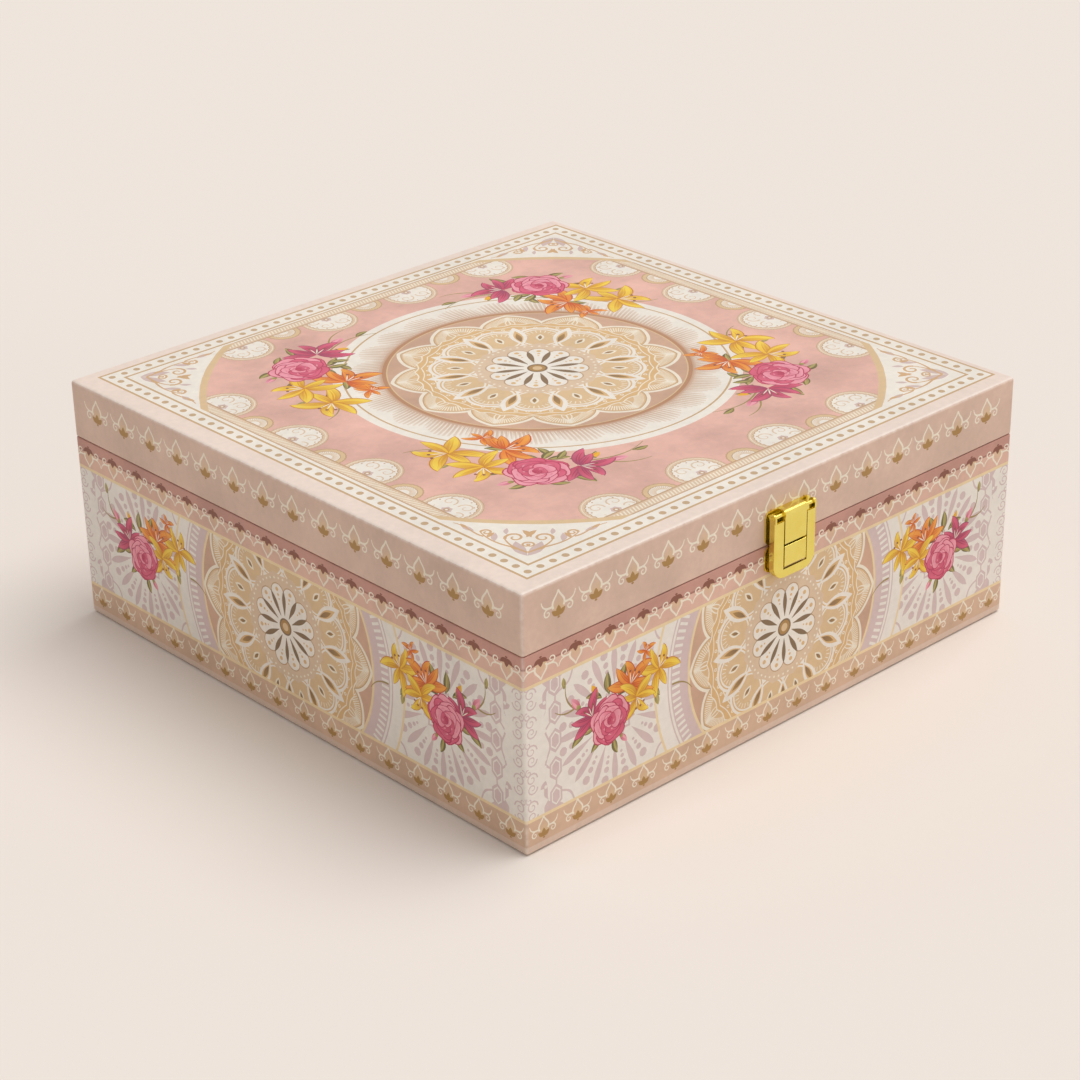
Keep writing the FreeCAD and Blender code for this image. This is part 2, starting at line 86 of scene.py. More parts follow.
def linear(hex_colour):
    """Linear red, green and blue of an sRGB hex colour, by the standard curve of that space."""
    srgb = np.array([int(hex_colour[first:first + 2], 16) for first in (1, 3, 5)]) / 255
    return tuple(np.where(srgb <= 0.04045, srgb / 12.92, ((srgb + 0.055) / 1.055) ** 2.4))


def colour(name, hex_colour, description):
    """Colour property with its default written as sRGB hex."""
    return bpy.props.FloatVectorProperty(
        name=name, description=description, default=linear(hex_colour), subtype="COLOR", min=0, max=1)


def length(name, millimetres, description):
    """Length property with its default written in millimetres."""
    return bpy.props.FloatProperty(
        name=name, description=description, default=millimetres * MM, subtype="DISTANCE", unit="LENGTH")


def shift(name, across, up, description):
    """Place on a flat sheet, from the sheet's centre, with its default written in millimetres."""
    return bpy.props.FloatVectorProperty(
        name=name, description=description, default=(across * MM, up * MM), size=2, unit="LENGTH")


def angle(name, degrees, description):
    """Angle property with its default written in degrees."""
    return bpy.props.FloatProperty(
        name=name, description=description, default=math.radians(degrees), subtype="ANGLE", unit="ROTATION")


def brightness(name, strength, description):
    """Strength of a light."""
    return bpy.props.FloatProperty(name=name, description=description, default=strength, min=0)


class SweetBoxInks(bpy.types.PropertyGroup):
    """Inks of the print."""

    margin: colour("Margin", "#EEDACD", "Pale pink round the lid's border")
    white: colour("White", "#F2E9DD", "Unprinted white of bands, doilies and daisies")
    gold: colour("Gold line", "#C9A67A", "Thin lines of the lid's border")
    dot: colour("Dot", "#C6A782", "Dots in the lid's white band")
    field: colour("Field", "#E2B2A3", "Clouded salmon pink of the lid")
    arc: colour("Corner arc", "#DDBE93", "Broad arc that cuts off each corner")
    lace: colour("Lace", "#DFC3A5", "Striped strip and doily rims")
    lace_line: colour("Lace line", "#C29D78", "Lines drawn on lace")
    scroll: colour("Scroll", "#D2A97C", "Corner scrolls")
    lilac: colour("Lilac", "#D3BAB3", "Second colour of the corner scrolls")
    haze: colour("Haze", "#C9A388", "Feathering outside the medallion's ring")
    haze_light: colour("Light haze", "#E7D6C4", "Light threads and tips of that feathering")
    ring: colour("Ring", "#B98763", "Brown ring of the medallion")
    disc: colour("Disc", "#CFA68C", "Dusty rose behind the rosette")
    petal: colour("Rosette petal", "#DDB98C", "Outer petals of a rosette")
    cream: colour("Cream", "#F3E7D3", "Outlines of rosettes and buds")
    tan: colour("Tan", "#DEB57E", "Ring between a rosette's petals and its daisy")
    sand: colour("Sand", "#DFBE92", "Ground of a rosette's middle")
    brown: colour("Brown", "#84694A", "Almonds and slits of a rosette")
    taupe: colour("Taupe", "#DBBBA8", "Plain sides of the lid")
    bud_gold: colour("Bud gold", "#AF8548", "Feet of the buds on the lid and in the lower chain")
    rose_band: colour("Rose band", "#C69283", "Plain band under the parting line")
    rose_shade: colour("Rose shade", "#AC7467", "Line under the plain band")
    bud_brown: colour("Bud brown", "#89513F", "Feet of the buds in the upper chain")
    peach: colour("Peach", "#DFB5A1", "Ground of the upper bud chain")
    chain: colour("Chain", "#D8B498", "Ground of the lower bud chain")
    yellow_line: colour("Yellow line", "#EFD5A8", "Lines that bound the base's main band")
    foot_line: colour("Foot strip", "#DFC4B1", "Pale strip at the foot of the walls")
    lavender: colour("Lavender", "#D8C0BC", "Ground of the wall lace")
    lace_white: colour("Lace white", "#EFE7DD", "White of the wall lace")
    rose_deep: colour("Deep rose", "#B83055", "Folds of a rose")
    rose: colour("Rose", "#DE617E", "Petals of a rose")
    rose_light: colour("Light rose", "#F3A4B1", "Rims of a rose's petals")
    magenta: colour("Magenta", "#97345A", "Throat of a magenta lily")
    orange_deep: colour("Deep orange", "#C54711", "Throat of an orange lily")
    orange: colour("Orange", "#E77A1F", "Petals of an orange lily")
    orange_light: colour("Light orange", "#F5A840", "Tips of an orange lily")
    amber: colour("Amber", "#CC8010", "Throat of a yellow lily")
    yellow: colour("Yellow", "#EEB623", "Petals of a yellow lily")
    yellow_light: colour("Light yellow", "#F8D84C", "Tips of a yellow lily")
    leaf_dark: colour("Dark leaf", "#584C27", "Shaded half of a leaf")
    leaf: colour("Leaf", "#80753A", "Leaves")
    leaf_light: colour("Light leaf", "#B9A862", "Tips of leaves")
    stem: colour("Stem", "#A18A50", "Stems and tendrils")


class SweetBoxLidPrint(bpy.types.PropertyGroup):
    """Sizes of the lid's print."""

    border_shift: shift("Border place", 2.7, 0.6, "Centre of the border on the lid")
    border_half: length("Border", 118.5, "Centre of the lid to the outer gold line")
    band: length("Dotted band", 7, "Width of the white band between the gold lines")
    gold_line: length("Gold line", 1, "Width of the border's gold lines")
    dot_pitch: length("Dot pitch", 5.6, "Distance from dot to dot")
    dot_radius: length("Dot radius", 1.35, "Radius of a dot")
    field_shift: shift("Field place", 2.6, 1.2, "Centre of the pink field on the lid")
    field_half: length("Field", 109.4, "Centre of the field to its lace strip's outer edge")
    field_radius: length("Field radius", 125.2, "Radius of the arcs that cut off the corners")
    arc_width: length("Arc width", 2.8, "Width of those arcs")
    strip: length("Lace strip", 5.2, "Width of the striped lace strip")
    doily_pitch: length("Doily pitch", 41.5, "Distance from doily to doily")
    doily_radius: length("Doily radius", 9.3, "Radius of a doily's white disc")
    scallop_radius: length("Scallop radius", 7.4, "Radius of the low scallops between doilies")
    medallion_shift: shift("Medallion place", 6.3, 7.9, "Centre of the medallion on the lid")
    medallion_radius: length("Medallion", 77.4, "Radius of the medallion's white ring")
    spray_shift: shift("Spray place", 4.5, 5.4, "Centre of the four sprays on the lid")
    bud_pitch: length("Bud pitch", 16.75, "Distance from bud to bud on the lid's sides")
    bud_level: length("Bud level", 86.5, "Height of the buds' feet on the lid's sides")


class SweetBoxWallPrint(bpy.types.PropertyGroup):
    """Sizes of the base's print; heights are above the floor."""

    upper_line: length("Upper line", 63.4, "Height of the upper yellow line")
    lower_line: length("Lower line", 13.2, "Height of the lower yellow line")
    line: length("Line", 1.2, "Width of the yellow lines")
    rose_edge: length("Rose band", 70.8, "Lower edge of the plain band under the parting line")
    bud_pitch: length("Bud pitch", 15.625, "Distance from bud to bud")
    rosette_level: length("Rosette level", 39.7, "Height of the rosette's centre")
    rosette_radius: length("Rosette", 47.8, "Radius of the rosette's petal tips")
    ring_radius: length("Ring", 65.3, "Radius of the yellow line round the rosette's white ring")
    dash_radius: length("Dashes", 57.3, "Outer radius of the dashed ring round the rosette")
    lace_place: shift(
        "Lace place", -84, 38.3, "Centre of the left lace wheel, from the wall's centre and the floor")
    lace_radius: length("Lace wheel", 28.5, "Radius of a lace wheel")


class SweetBoxStage(bpy.types.PropertyGroup):
    """Camera, light and floor."""

    azimuth: angle("Azimuth", -42.63, "Camera's angle round the box, from its front")
    elevation: angle("Elevation", 26.10, "Camera's angle above the floor")
    roll: angle("Roll", 1.11, "Camera's turn about its own axis")
    distance: length("Distance", 1010.6, "Camera to the point it looks at")
    target: bpy.props.FloatVectorProperty(
        name="Target", description="Point that the camera looks at",
        default=(-26.0 * MM, -26.8 * MM, 49.0 * MM), subtype="XYZ", unit="LENGTH")
    lens: bpy.props.FloatProperty(
        name="Lens", description="Focal length for a frame 36 mm wide", default=91.19, unit="CAMERA")
    backdrop: colour("Backdrop", "#EFE5DC", "Floor and the space behind the box")
    key_light: brightness("Key light", 1.68, "Strength of the lamp overhead")
    fill_light: brightness("Fill light", 0.22, "Strength of the low lamp in front")
    sky_light: brightness("Sky light", 0.49, "Strength of the light all round")


def in_millimetres(group):
    """A property group's lengths in millimetres, with its places on a sheet as complex numbers."""
    values = {}
    for name in group.__annotations__:
        value = getattr(group, name)
        values[name] = value / MM if isinstance(value, float) else complex(*value) / MM
    return SimpleNamespace(**values)


# Outlines, as complex numbers in millimetres: across is real and up is imaginary


def turns(count, first=0.0):
    """Unit numbers that turn a shape to each of count even steps round a circle, from first degrees."""
    return np.exp(1j * np.radians(first + 360 * np.arange(count) / count))


def disc(centre, radius):
    """Circle: its centre plus the radius times the unit circle, with chords that stay near it."""
    count = max(8, math.ceil(math.pi / math.sqrt(2 * CHORD_ERROR / radius)))
    return centre + radius * turns(count)


def oblong(left, bottom, right, top):
    """Rectangle from its lower left corner, anticlockwise."""
    return np.array([left + 1j * bottom, right + 1j * bottom, right + 1j * top, left + 1j * top])


def square(centre, half):
    """Square about a centre."""
    return centre + oblong(-half, -half, half, half)


def leaf(reach, width, blunt=1.0, bend=0.0, lean=1.0, count=9):
    """Pointed leaf from zero to the right.

    Its spine turns evenly by bend degrees, and its half width is width / 2 times sin(pi share^lean)^blunt,
    while the share climbs along the spine from 0 to 1.
    """
    share = np.linspace(0, 1, count)
    sweep = math.radians(bend) if bend else 1e-6
    ahead = np.exp(1j * sweep * share)
    spine = reach * (ahead - 1) / (1j * sweep)
    half = 1j * ahead * width / 2 * np.sin(np.pi * np.clip(share, 0, 0.9999) ** lean) ** blunt
    return np.concatenate([spine - half, (spine + half)[-2:0:-1]])


def arch(height, half_width, power=2.4, blunt=0.85, count=10):
    """Pointed arch to the right of zero.

    Its half width falls off as (1 - share^power)^blunt, while the share climbs from the foot to the tip.
    """
    share = np.sin(np.linspace(0, np.pi / 2, count))
    half = 1j * half_width * np.maximum(1 - share ** power, 0) ** blunt
    return np.concatenate([height * share - half, (height * share + half)[-2::-1]])


def lobed(radius, lobes, depth, blunt=1.0, first=0.0, count=8):
    """Scalloped disc: the radius less a depth that grows as the sine of the place between two lobes."""
    around = np.linspace(0, 2 * np.pi, lobes * count, endpoint=False)
    dip = np.abs(np.sin(lobes * around / 2)) ** blunt
    return (radius - depth * dip) * np.exp(1j * (around + math.radians(first)))


def above(outline):
    """Part of a round outline above the base line, closed by a point on that line under each end."""
    risen = outline.imag > 0
    if risen.all():
        return outline
    first = np.flatnonzero(risen & ~np.roll(risen, 1))[0]
    kept = np.roll(outline, -first)[:np.count_nonzero(risen)]
    return np.concatenate([kept, kept[[-1, 0]].real])


def curve(start, first_pull, second_pull, end, count=12):
    """Cubic curve from start to end, drawn towards two points on the way."""
    share = np.linspace(0, 1, count)
    rest = 1 - share
    return (rest ** 3 * start + 3 * rest ** 2 * share * first_pull
            + 3 * rest * share ** 2 * second_pull + share ** 3 * end)


def curl(start, radius, first, sweep, count=16):
    """Spiral that winds in from start: its distance from the eye shrinks evenly to a fifth on its sweep."""
    share = np.linspace(0, 1, count)
    eye = start - radius * np.exp(1j * math.radians(first))
    return eye + radius * (1 - 0.8 * share) * np.exp(1j * np.radians(first + sweep * share))


def stroke(path, width, tip=1.0):
    """Ribbon along a path that narrows evenly from its width to the share tip of it."""
    ahead = np.gradient(path)
    half = 1j * ahead / np.abs(ahead) * width / 2 * np.linspace(1, tip, len(path))
    return np.concatenate([path - half, (path + half)[::-1]])


def bars(starts, ends, width, tip=1.0):
    """Straight bars: two corners at each start and two at each end, half the width to either side."""
    side = 1j * (ends - starts) / np.abs(ends - starts) * width / 2
    return np.stack([starts - side, ends - side * tip, ends + side * tip, starts + side], axis=-1)


# Sheets


def merged_inks(corners, triangles, owners, creases_across, creases_up):
    """Cut a sheet afresh into fewer triangles.

    Triangles of one owner between the same creases are first made one face, so edges that lie hidden under
    later inks go, and so do points that no triangle uses.
    """
    middles = corners[triangles].mean(axis=1)
    columns = np.searchsorted(np.sort(creases_across), middles.real)
    rows = np.searchsorted(np.sort(creases_up), middles.imag)
    kinds, regions = np.unique(np.column_stack([owners, columns, rows]), axis=0, return_inverse=True)
    places = np.column_stack([corners.real, corners.imag, np.zeros(len(corners))])
    mesh = bpy.data.meshes.new("sheet")
    mesh.from_pydata(places.tolist(), [], triangles.tolist())
    mesh.polygons.foreach_set("material_index", regions.reshape(-1).astype(np.int32))
    flat = bmesh.new()
    flat.from_mesh(mesh)
    bmesh.ops.delete(flat, geom=[vertex for vertex in flat.verts if not vertex.link_faces], context="VERTS")
    bmesh.ops.dissolve_limit(
        flat, angle_limit=STRAIGHT, use_dissolve_boundaries=False, verts=flat.verts, edges=flat.edges,
        delimit={"MATERIAL"})
    bmesh.ops.triangulate(flat, faces=flat.faces)
    flat.to_mesh(mesh)
    flat.free()
    places = np.empty(3 * len(mesh.vertices), np.float32)
    mesh.vertices.foreach_get("co", places)
    triangles = np.empty(3 * len(mesh.polygons), np.int32)
    mesh.polygons.foreach_get("vertices", triangles)
    regions = np.empty(len(mesh.polygons), np.int32)
    mesh.polygons.foreach_get("material_index", regions)
    bpy.data.meshes.remove(mesh)
    return places[0::3] + 1j * places[1::3].astype(float), triangles.reshape(-1, 3), kinds[regions, 0]


class Sheet:
    """Flat sheet on which inks are laid one over the other."""

    def __init__(self, ink, outline):
        self.outlines = []
        self.inks = []
        self.lay(ink, outline)

    def lay(self, ink, outline, fade=None):
        """Lay an outline, or rows of them, over what is there.

        With fade, the ink turns to that second ink on the way from the outline's first point to the point
        farthest from it.
        """
        for shape in np.reshape(outline, (-1, np.shape(outline)[-1])):
            following = np.roll(shape, -1)
            anticlockwise = np.sum(shape.real * following.imag - shape.imag * following.real) > 0
            self.outlines.append(shape if anticlockwise else np.roll(shape[::-1], 1))
            self.inks.append((ink, fade or ink))

    def cut(self, creases_across, creases_up, inks):
        """Cut the sheet along its outlines and creases into triangles.

        Returns the points, the triangles and each triangle's three corner colours. A triangle takes the ink
        of the topmost outline that holds it. Where that ink fades, each corner is mixed by its place on the
        line of the fade. Triangles outside the first outline are dropped.
        """
        ground = self.outlines[0]
        low, high = ground.real.min() + 1j * ground.imag.min(), ground.real.max() + 1j * ground.imag.max()
        across = [x for x in creases_across if low.real < x < high.real]
        lines = [(x + 1j * low.imag, x + 1j * high.imag) for x in across]
        lines += [(low.real + 1j * y, high.real + 1j * y) for y in creases_up if low.imag < y < high.imag]
        points = np.concatenate(self.outlines + [np.array(line) for line in lines])
        ends = np.cumsum([len(outline) for outline in self.outlines])
        faces = [list(range(end - len(outline), end)) for outline, end in zip(self.outlines, ends)]
        edges = [(int(ends[-1]) + 2 * index, int(ends[-1]) + 2 * index + 1) for index in range(len(lines))]
        flat = np.column_stack([points.real, points.imag]).tolist()
        corners, _, triangles, _, _, owners = delaunay_2d_cdt(flat, edges, faces, 1, MERGE, True)
        corners, triangles = np.array(corners) @ np.array([1, 1j]), np.array(triangles)
        topmost = np.array([max(owner) if 0 in owner else -1 for owner in owners])
        triangles, topmost = triangles[topmost >= 0], topmost[topmost >= 0]
        corners, triangles, topmost = merged_inks(corners, triangles, topmost, creases_across, creases_up)
        starts = np.array([outline[0] for outline in self.outlines])
        spans = [outline - outline[0] for outline in self.outlines]
        reaches = np.array([span[np.argmax(np.abs(span))] for span in spans])
        along = (corners[triangles] - starts[topmost, None]) * np.conj(reaches[topmost, None])
        share = np.clip(along.real / np.abs(reaches[topmost, None]) ** 2, 0, 1)[..., None]
        names = sorted({name for pair in self.inks for name in pair})
        palette = np.array([inks[name] for name in names])
        first, second = (np.array([names.index(pair[end]) for pair in self.inks]) for end in (0, 1))
        colours = palette[first[topmost], None] * (1 - share) + palette[second[topmost], None] * share
        return corners, triangles, colours


# Motifs; put places a motif's own outline on its sheet


ROSETTE_REACH = 57  # centre to petal tips in the rosette's own drawing, in millimetres
MEDALLION_REACH = 79  # centre to white rim in the medallion's own drawing, in millimetres
SCROLL_SCALE = 1.06  # of the scrolls in the lid's corners
SCROLL_OVERHANG = 0.3  # how far their corner lies outside the field's, in millimetres
LID_SIDE_BUDS = 14  # buds on one side of the lid
UPPER_BUDS = 70.9  # height at which the upper buds of a wall hang, in millimetres
UPPER_BUD_SCALE = 0.85  # of their height alone
LOWER_BUDS = 6.5  # height at which the lower buds of a wall stand, in millimetres
LOWER_BUD_SCALE = 0.84
WALL_SPRAY_PLACE = 43  # wall's centre to the zero of a spray's own drawing, in millimetres
WALL_SPRAY_SCALE = 0.9
SHADE_LINE = 0.7  # width of the dark line under a wall's plain band, in millimetres
FOOT_STRIP = 3.4  # height of the pale strip at a wall's foot, in millimetres


def rosette(sheet, put):
    """Twelve-fold lace rosette: petals, lace ring, scallops, almonds and a daisy.

    Most parts are one shape turned to twelve even steps, on the petals' own lines or half-way between them.
    """
    on_petal = turns(12)[:, None]
    between = turns(12, 15)[:, None]
    petal_foot = 40.2
    for height, half, ink in ((17.2, 13.9, "cream"), (15.7, 12.5, "lace_line"), (15.3, 12.1, "petal")):
        sheet.lay(ink, put(on_petal * (petal_foot + arch(height, half, 2.6, 0.8, 18))))
    hatch = bars(arch(10.8, 7.2, 2.6, 0.8, 22), arch(14.7, 11.5, 2.6, 0.8, 22), 0.45)[6:-6]
    sheet.lay("cream", put((on_petal[..., None] * (petal_foot + hatch)).reshape(-1, 4)))
    vein_foot = 44
    for reach, width, ink in ((8.6, 4.2, "cream"), (7.7, 3.2, "petal"), (9.6, 0.7, "cream")):
        sheet.lay(ink, put(on_petal * (vein_foot + leaf(reach, width, 0.8))))
    scallops = ((47.4, 36, "cream"), (46.8, 36, "tan"), (45, 24, "cream"), (44.5, 24, "tan"))
    for radius, lobes, ink in scallops:
        sheet.lay(ink, put(lobed(radius, lobes, 1.2)))
    for radius, ink in ((0.85, "cream"), (0.4, "tan")):
        sheet.lay(ink, put(turns(60)[:, None] * (42 + disc(0, radius))))
    for radius, ink in ((40.8, "cream"), (40.3, "sand")):
        sheet.lay(ink, put(disc(0, radius)))
    scallop = 31.6
    for radius, ink in ((10.5, "white"), (9.2, "tan"), (8.6, "white"), (7.8, "sand")):
        sheet.lay(ink, put(between * (scallop + disc(0, radius))))
    rays = np.exp(1j * np.radians(np.linspace(-84, 84, 11)))
    fan = scallop + bars(5.2 * rays, 7.3 * rays, 0.4)
    sheet.lay("cream", put((between[..., None] * fan).reshape(-1, 4)))
    sheet.lay("lace", put(lobed(25.4, 12, 1.6, first=15)))
    sheet.lay("cream", put(turns(48)[:, None] * (22.4 + disc(0, 0.55))))
    sheet.lay("white", put(on_petal * (25 + leaf(18.4, 7, blunt=0.9))))
    sheet.lay("tan", put(on_petal * (26.8 + leaf(13, 3.7))))
    sheet.lay("brown", put(on_petal * (28 + leaf(8.8, 2.4))), fade="bud_gold")
    sheet.lay("cream", put(between * (28.2 + leaf(7, 3.4))))
    sheet.lay("brown", put(between * (29.4 + leaf(4.4, 1.6))), fade="bud_gold")
    for ink, edge in (("lace_line", 0.5), ("white", 0)):
        sheet.lay(ink, put(between * (15.6 + disc(0, 4.05 + edge))))
        sheet.lay(ink, put(disc(0, 15.6 + edge)))
    for place, radius in ((17.2, 1.0), (14.6, 0.65), (12.6, 0.45)):
        sheet.lay("tan", put(between * (place + disc(0, radius))))
    sheet.lay("brown", put(on_petal * (4.8 + leaf(12.6, 2.4, lean=1.25))))
    for radius, ink in ((5.2, "white"), (4.0, "brown"), (3.2, "bud_gold"), (1.9, "sand")):
        sheet.lay(ink, put(disc(0, radius)))


def lotus_bud(sheet, put, foot_ink, fill_ink):
    """Lotus bud of a border chain, about 15 mm wide.

    A pointed arch stands on a three-leaved foot. A horn runs out from each side of the arch and turns up,
    and a ring curls under it.
    """
    horn = curve(2.2 + 2.4j, 4.4 + 2.1j, 7.1 + 2.1j, 7.6 + 5.4j, 9)
    side = curve(2.3 + 1.4j, 3.7 + 4.2j, 0.8 + 5.0j, 7.7j, 9)
    ring = curl(4.9 + 2.2j, 1.7, 90, -400, 15)
    sheet.lay("sand", put(1j * (0.5 + arch(5.8, 2.6, 1.7, 0.9))), fade=fill_ink)
    for path, width, tip in ((horn, 0.95, 0.4), (side, 0.9, 0.7), (ring, 0.7, 0.5)):
        for half in (path, -np.conj(path)):
            sheet.lay("cream", put(stroke(half, width, tip)))
    for way, reach, width in ((142, 3.9, 1.9), (38, 3.9, 1.9), (90, 3.9, 2.2), (270, 0.9, 1.3)):
        sheet.lay(foot_ink, put(np.exp(1j * math.radians(way)) * leaf(reach, width) - 1.7j))


def rose(sheet, put, radius):
    """Rose: rings of overlapping petals from the outside in, each with a deep edge and a paler rim.

    Petals that face the light, up and to the left, are the paler ones.
    """
    around = np.linspace(0, 2 * np.pi, 18, endpoint=False)
    light_way = np.exp(2.2j)
    sheet.lay("rose_deep", put(radius * lobed(0.95, 7, 0.1)))
    rings = ((0.58, 0.42, 7), (0.43, 0.38, 6), (0.27, 0.31, 5), (0.1, 0.2, 3))
    for ring, (place, size, count) in enumerate(rings):
        for index, turn in enumerate(turns(count, 40 * ring)):
            wave = 5.0 * index + 2 * ring
            waved = size * (1 + 0.12 * np.sin(3 * around + wave))
            petal = waved * (np.cos(around) + 1.15j * np.sin(around))
            swing = radius * turn * np.exp(0.3j * math.sin(wave))
            lit = (turn * np.conj(light_way)).real > -0.2 + 0.4 * math.sin(wave)
            rim, full = ("rose_light", "rose") if lit else ("rose", "rose_deep")
            sheet.lay("rose_deep", put(swing * (place + 1.1 * petal)))
            sheet.lay(rim, put(swing * (place + petal)), fade=full)
            fold = place + size * (0.1 + 0.5 * np.exp(1j * np.linspace(-1.1, 0.6, 7)))
            sheet.lay("rose_light", put(swing * stroke(fold, 0.07, 0.2)), fade=full)
    sheet.lay("rose_deep", put(radius * stroke(curl(0.12 + 0j, 0.14, 0, 500), 0.05)))


LILY_INKS = {
    "yellow": ("amber", "yellow", "yellow_light"),
    "orange": ("orange_deep", "orange", "orange_light"),
    "magenta": ("magenta", "rose_deep", "rose"),
}
BUD_INKS = {
    "rose": ("rose_deep", "rose_light"),
    "yellow": ("orange", "yellow"),
    "leaf": ("leaf", "leaf_light"),
}


def lily(sheet, put, reach, kind, petals=6, spread=360.0):
    """Lily: curved petals set evenly over a spread, deep at the throat, with a light half and dark ribs."""
    throat, middle, light = LILY_INKS[kind]
    steps = np.linspace(-spread / 2, spread / 2, petals, endpoint=spread < 360)
    for index in np.argsort(-np.abs(steps), kind="stable"):
        way = np.exp(1j * math.radians(steps[index] + 14 * math.sin(3.7 * index)))
        bend = 62 * math.sin(2.3 * index + 0.8)
        grow = reach * (0.98 + 0.2 * math.sin(2.9 * index + 1))
        width = reach * (0.32 + 0.05 * math.sin(4.1 * index))
        sheet.lay(throat, put(way * leaf(1.03 * grow, 1.16 * width, 0.8, bend, 0.9)))
        sheet.lay(throat, put(way * leaf(grow, width, 0.8, bend, 0.9)), fade=light)
        light_half = leaf(0.94 * grow, 0.5 * width, 0.8, bend, 0.9) + 0.15j * width
        sheet.lay(middle, put(way * light_half), fade=light)
        for side in (-0.22, 0.02):
            rib = leaf(0.8 * grow, 0.04 * reach, 0.8, bend) + side * 1j * width
            sheet.lay(throat, put(way * rib), fade=middle)
    for side in (-0.5, 0, 0.5):
        way = np.exp(1j * side)
        sheet.lay("cream", put(way * leaf(0.45 * reach, 0.04 * reach)))
        sheet.lay("bud_brown", put(way * (0.45 * reach + disc(0, 0.045 * reach))))


def foliage(sheet, put, reach, bend=20.0):
    """Leaf with a dark and a light half and a pale rib."""
    width = 0.38 * reach
    sheet.lay("leaf_dark", put(leaf(reach, width, 0.9, bend)), fade="leaf")
    sheet.lay("leaf", put(leaf(0.97 * reach, 0.5 * width, 0.9, bend) + 0.1j * width), fade="leaf_light")
    sheet.lay("leaf_light", put(leaf(0.85 * reach, 0.07 * reach, 1, bend)))


def flower_bud(sheet, put, reach, ink, tip_ink):
    """Closed bud: a fat petal with a lighter half, held by a leaf at its foot."""
    sheet.lay(ink, put(leaf(reach, 0.42 * reach, 0.9)), fade=tip_ink)
    sheet.lay(tip_ink, put(leaf(0.9 * reach, 0.16 * reach) + 0.06j * reach))
    sheet.lay("leaf", put(leaf(0.4 * reach, 0.3 * reach)), fade="leaf_light")


# Sprays of flowers: what grows, where it starts, its reach and its way in degrees
LID_SPRAY = (
    ("tendril", -72 + 32j, 17, 228), ("tendril", -40 + 75j, 18, 40), ("tendril", -44 + 71j, 26, 12),
    ("leaf", -66 + 74j, 9, 62), ("leaf", -56 + 77j, 10, 52), ("leaf", -70 + 70j, 9, 165),
    ("leaf", -53 + 61j, 9, 8), ("leaf", -55 + 60j, 9, 258), ("leaf", -50 + 59j, 8, 300),
    ("leaf", -26 + 76j, 7, 30), ("leaf", -40 + 70j, 5, 350), ("leaf", -64 + 49j, 8, 75),
    ("rose bud", -73 + 66j, 7, 195), ("yellow bud", -42 + 71j, 7, 345), ("rose bud", -39 + 76j, 9, 18),
    ("leaf bud", -80 + 40j, 5, 190), ("leaf", -54 + 60j, 9, 322), ("leaf", -50 + 63j, 8, 345),
    ("leaf", -58 + 54j, 8, 292), ("leaf", -70 + 40j, 10, 255), ("leaf", -62 + 38j, 9, 40),
    ("leaf", -47 + 66j, 10, 20), ("leaf", -66 + 58j, 11, 205), ("yellow lily", -74 + 32j, 14.5, 215),
    ("orange lily", -57 + 44j, 14, 20), ("yellow lily", -73 + 50j, 13.5, 130),
    ("orange flower", -56 + 31j, 7, 20), ("magenta lily", -48 + 73j, 13, 50), ("rose", -62 + 66j, 11.5, 0),
)
WALL_SPRAY = (
    ("tendril", -43 + 0j, 12, 172), ("tendril", -15 - 1j, 12, 340), ("tendril", -66 + 9j, 12, 118),
    ("tendril", -66 + 9j, 10, 175),
    ("leaf", -48 + 8j, 10, 112), ("leaf", -43 + 9j, 10, 75), ("leaf", -44 + 6j, 9, 15),
    ("leaf", -52 + 8j, 9, 140), ("leaf", -60 - 3j, 9, 190), ("leaf", -27 + 3j, 8, 320),
    ("leaf", -55 - 2j, 8, 205), ("leaf", -52 - 8j, 8, 220), ("leaf", -46 - 11j, 8, 265),
    ("leaf", -31 + 3j, 8, 250),
    ("rose bud", -63 + 7j, 8, 125), ("rose bud", -43 - 11j, 6, 310), ("leaf bud", -71 + 19j, 5, 95),
    ("leaf bud", -24 - 1j, 6, 285), ("yellow bud", -54 + 9j, 7, 118),
    ("magenta lily", -57 + 2j, 11, 112), ("yellow lily", -22 + 9j, 11, 60),
    ("orange lily", -37 + 8j, 12, 65), ("yellow lily", -34 + 1j, 10.5, 295),
    ("orange flower", -29 + 19j, 5, 60), ("rose", -48 - 3j, 10, 0),
)


def spray(sheet, put, growth):
    """Draw a spray in its list's order, so that what comes later lies on top."""
    for kind, start, reach, way in growth:
        turn = np.exp(1j * math.radians(way))

        def place(outline, start=start, turn=turn):
            return put(start + turn * outline)

        first_word = kind.split()[0]
        if kind == "tendril":
            path = curve(0j, reach * (0.4 + 0.15j), reach * (0.7 + 0.1j), reach * (1 - 0.12j))
            sheet.lay("stem", place(stroke(path, 0.9, 0.3)))
        elif kind == "leaf":
            varied_bend = 40 * math.sin(way)
            foliage(sheet, place, reach, varied_bend)
        elif kind == "rose":
            rose(sheet, place, reach)
        elif kind == "orange flower":
            lily(sheet, place, reach, "orange", petals=5)
        elif kind.endswith("lily"):
            fan = first_word != "yellow"
            lily(sheet, place, reach, first_word, spread=230 if fan else 360)
        else:
            flower_bud(sheet, place, reach, *BUD_INKS[first_word])


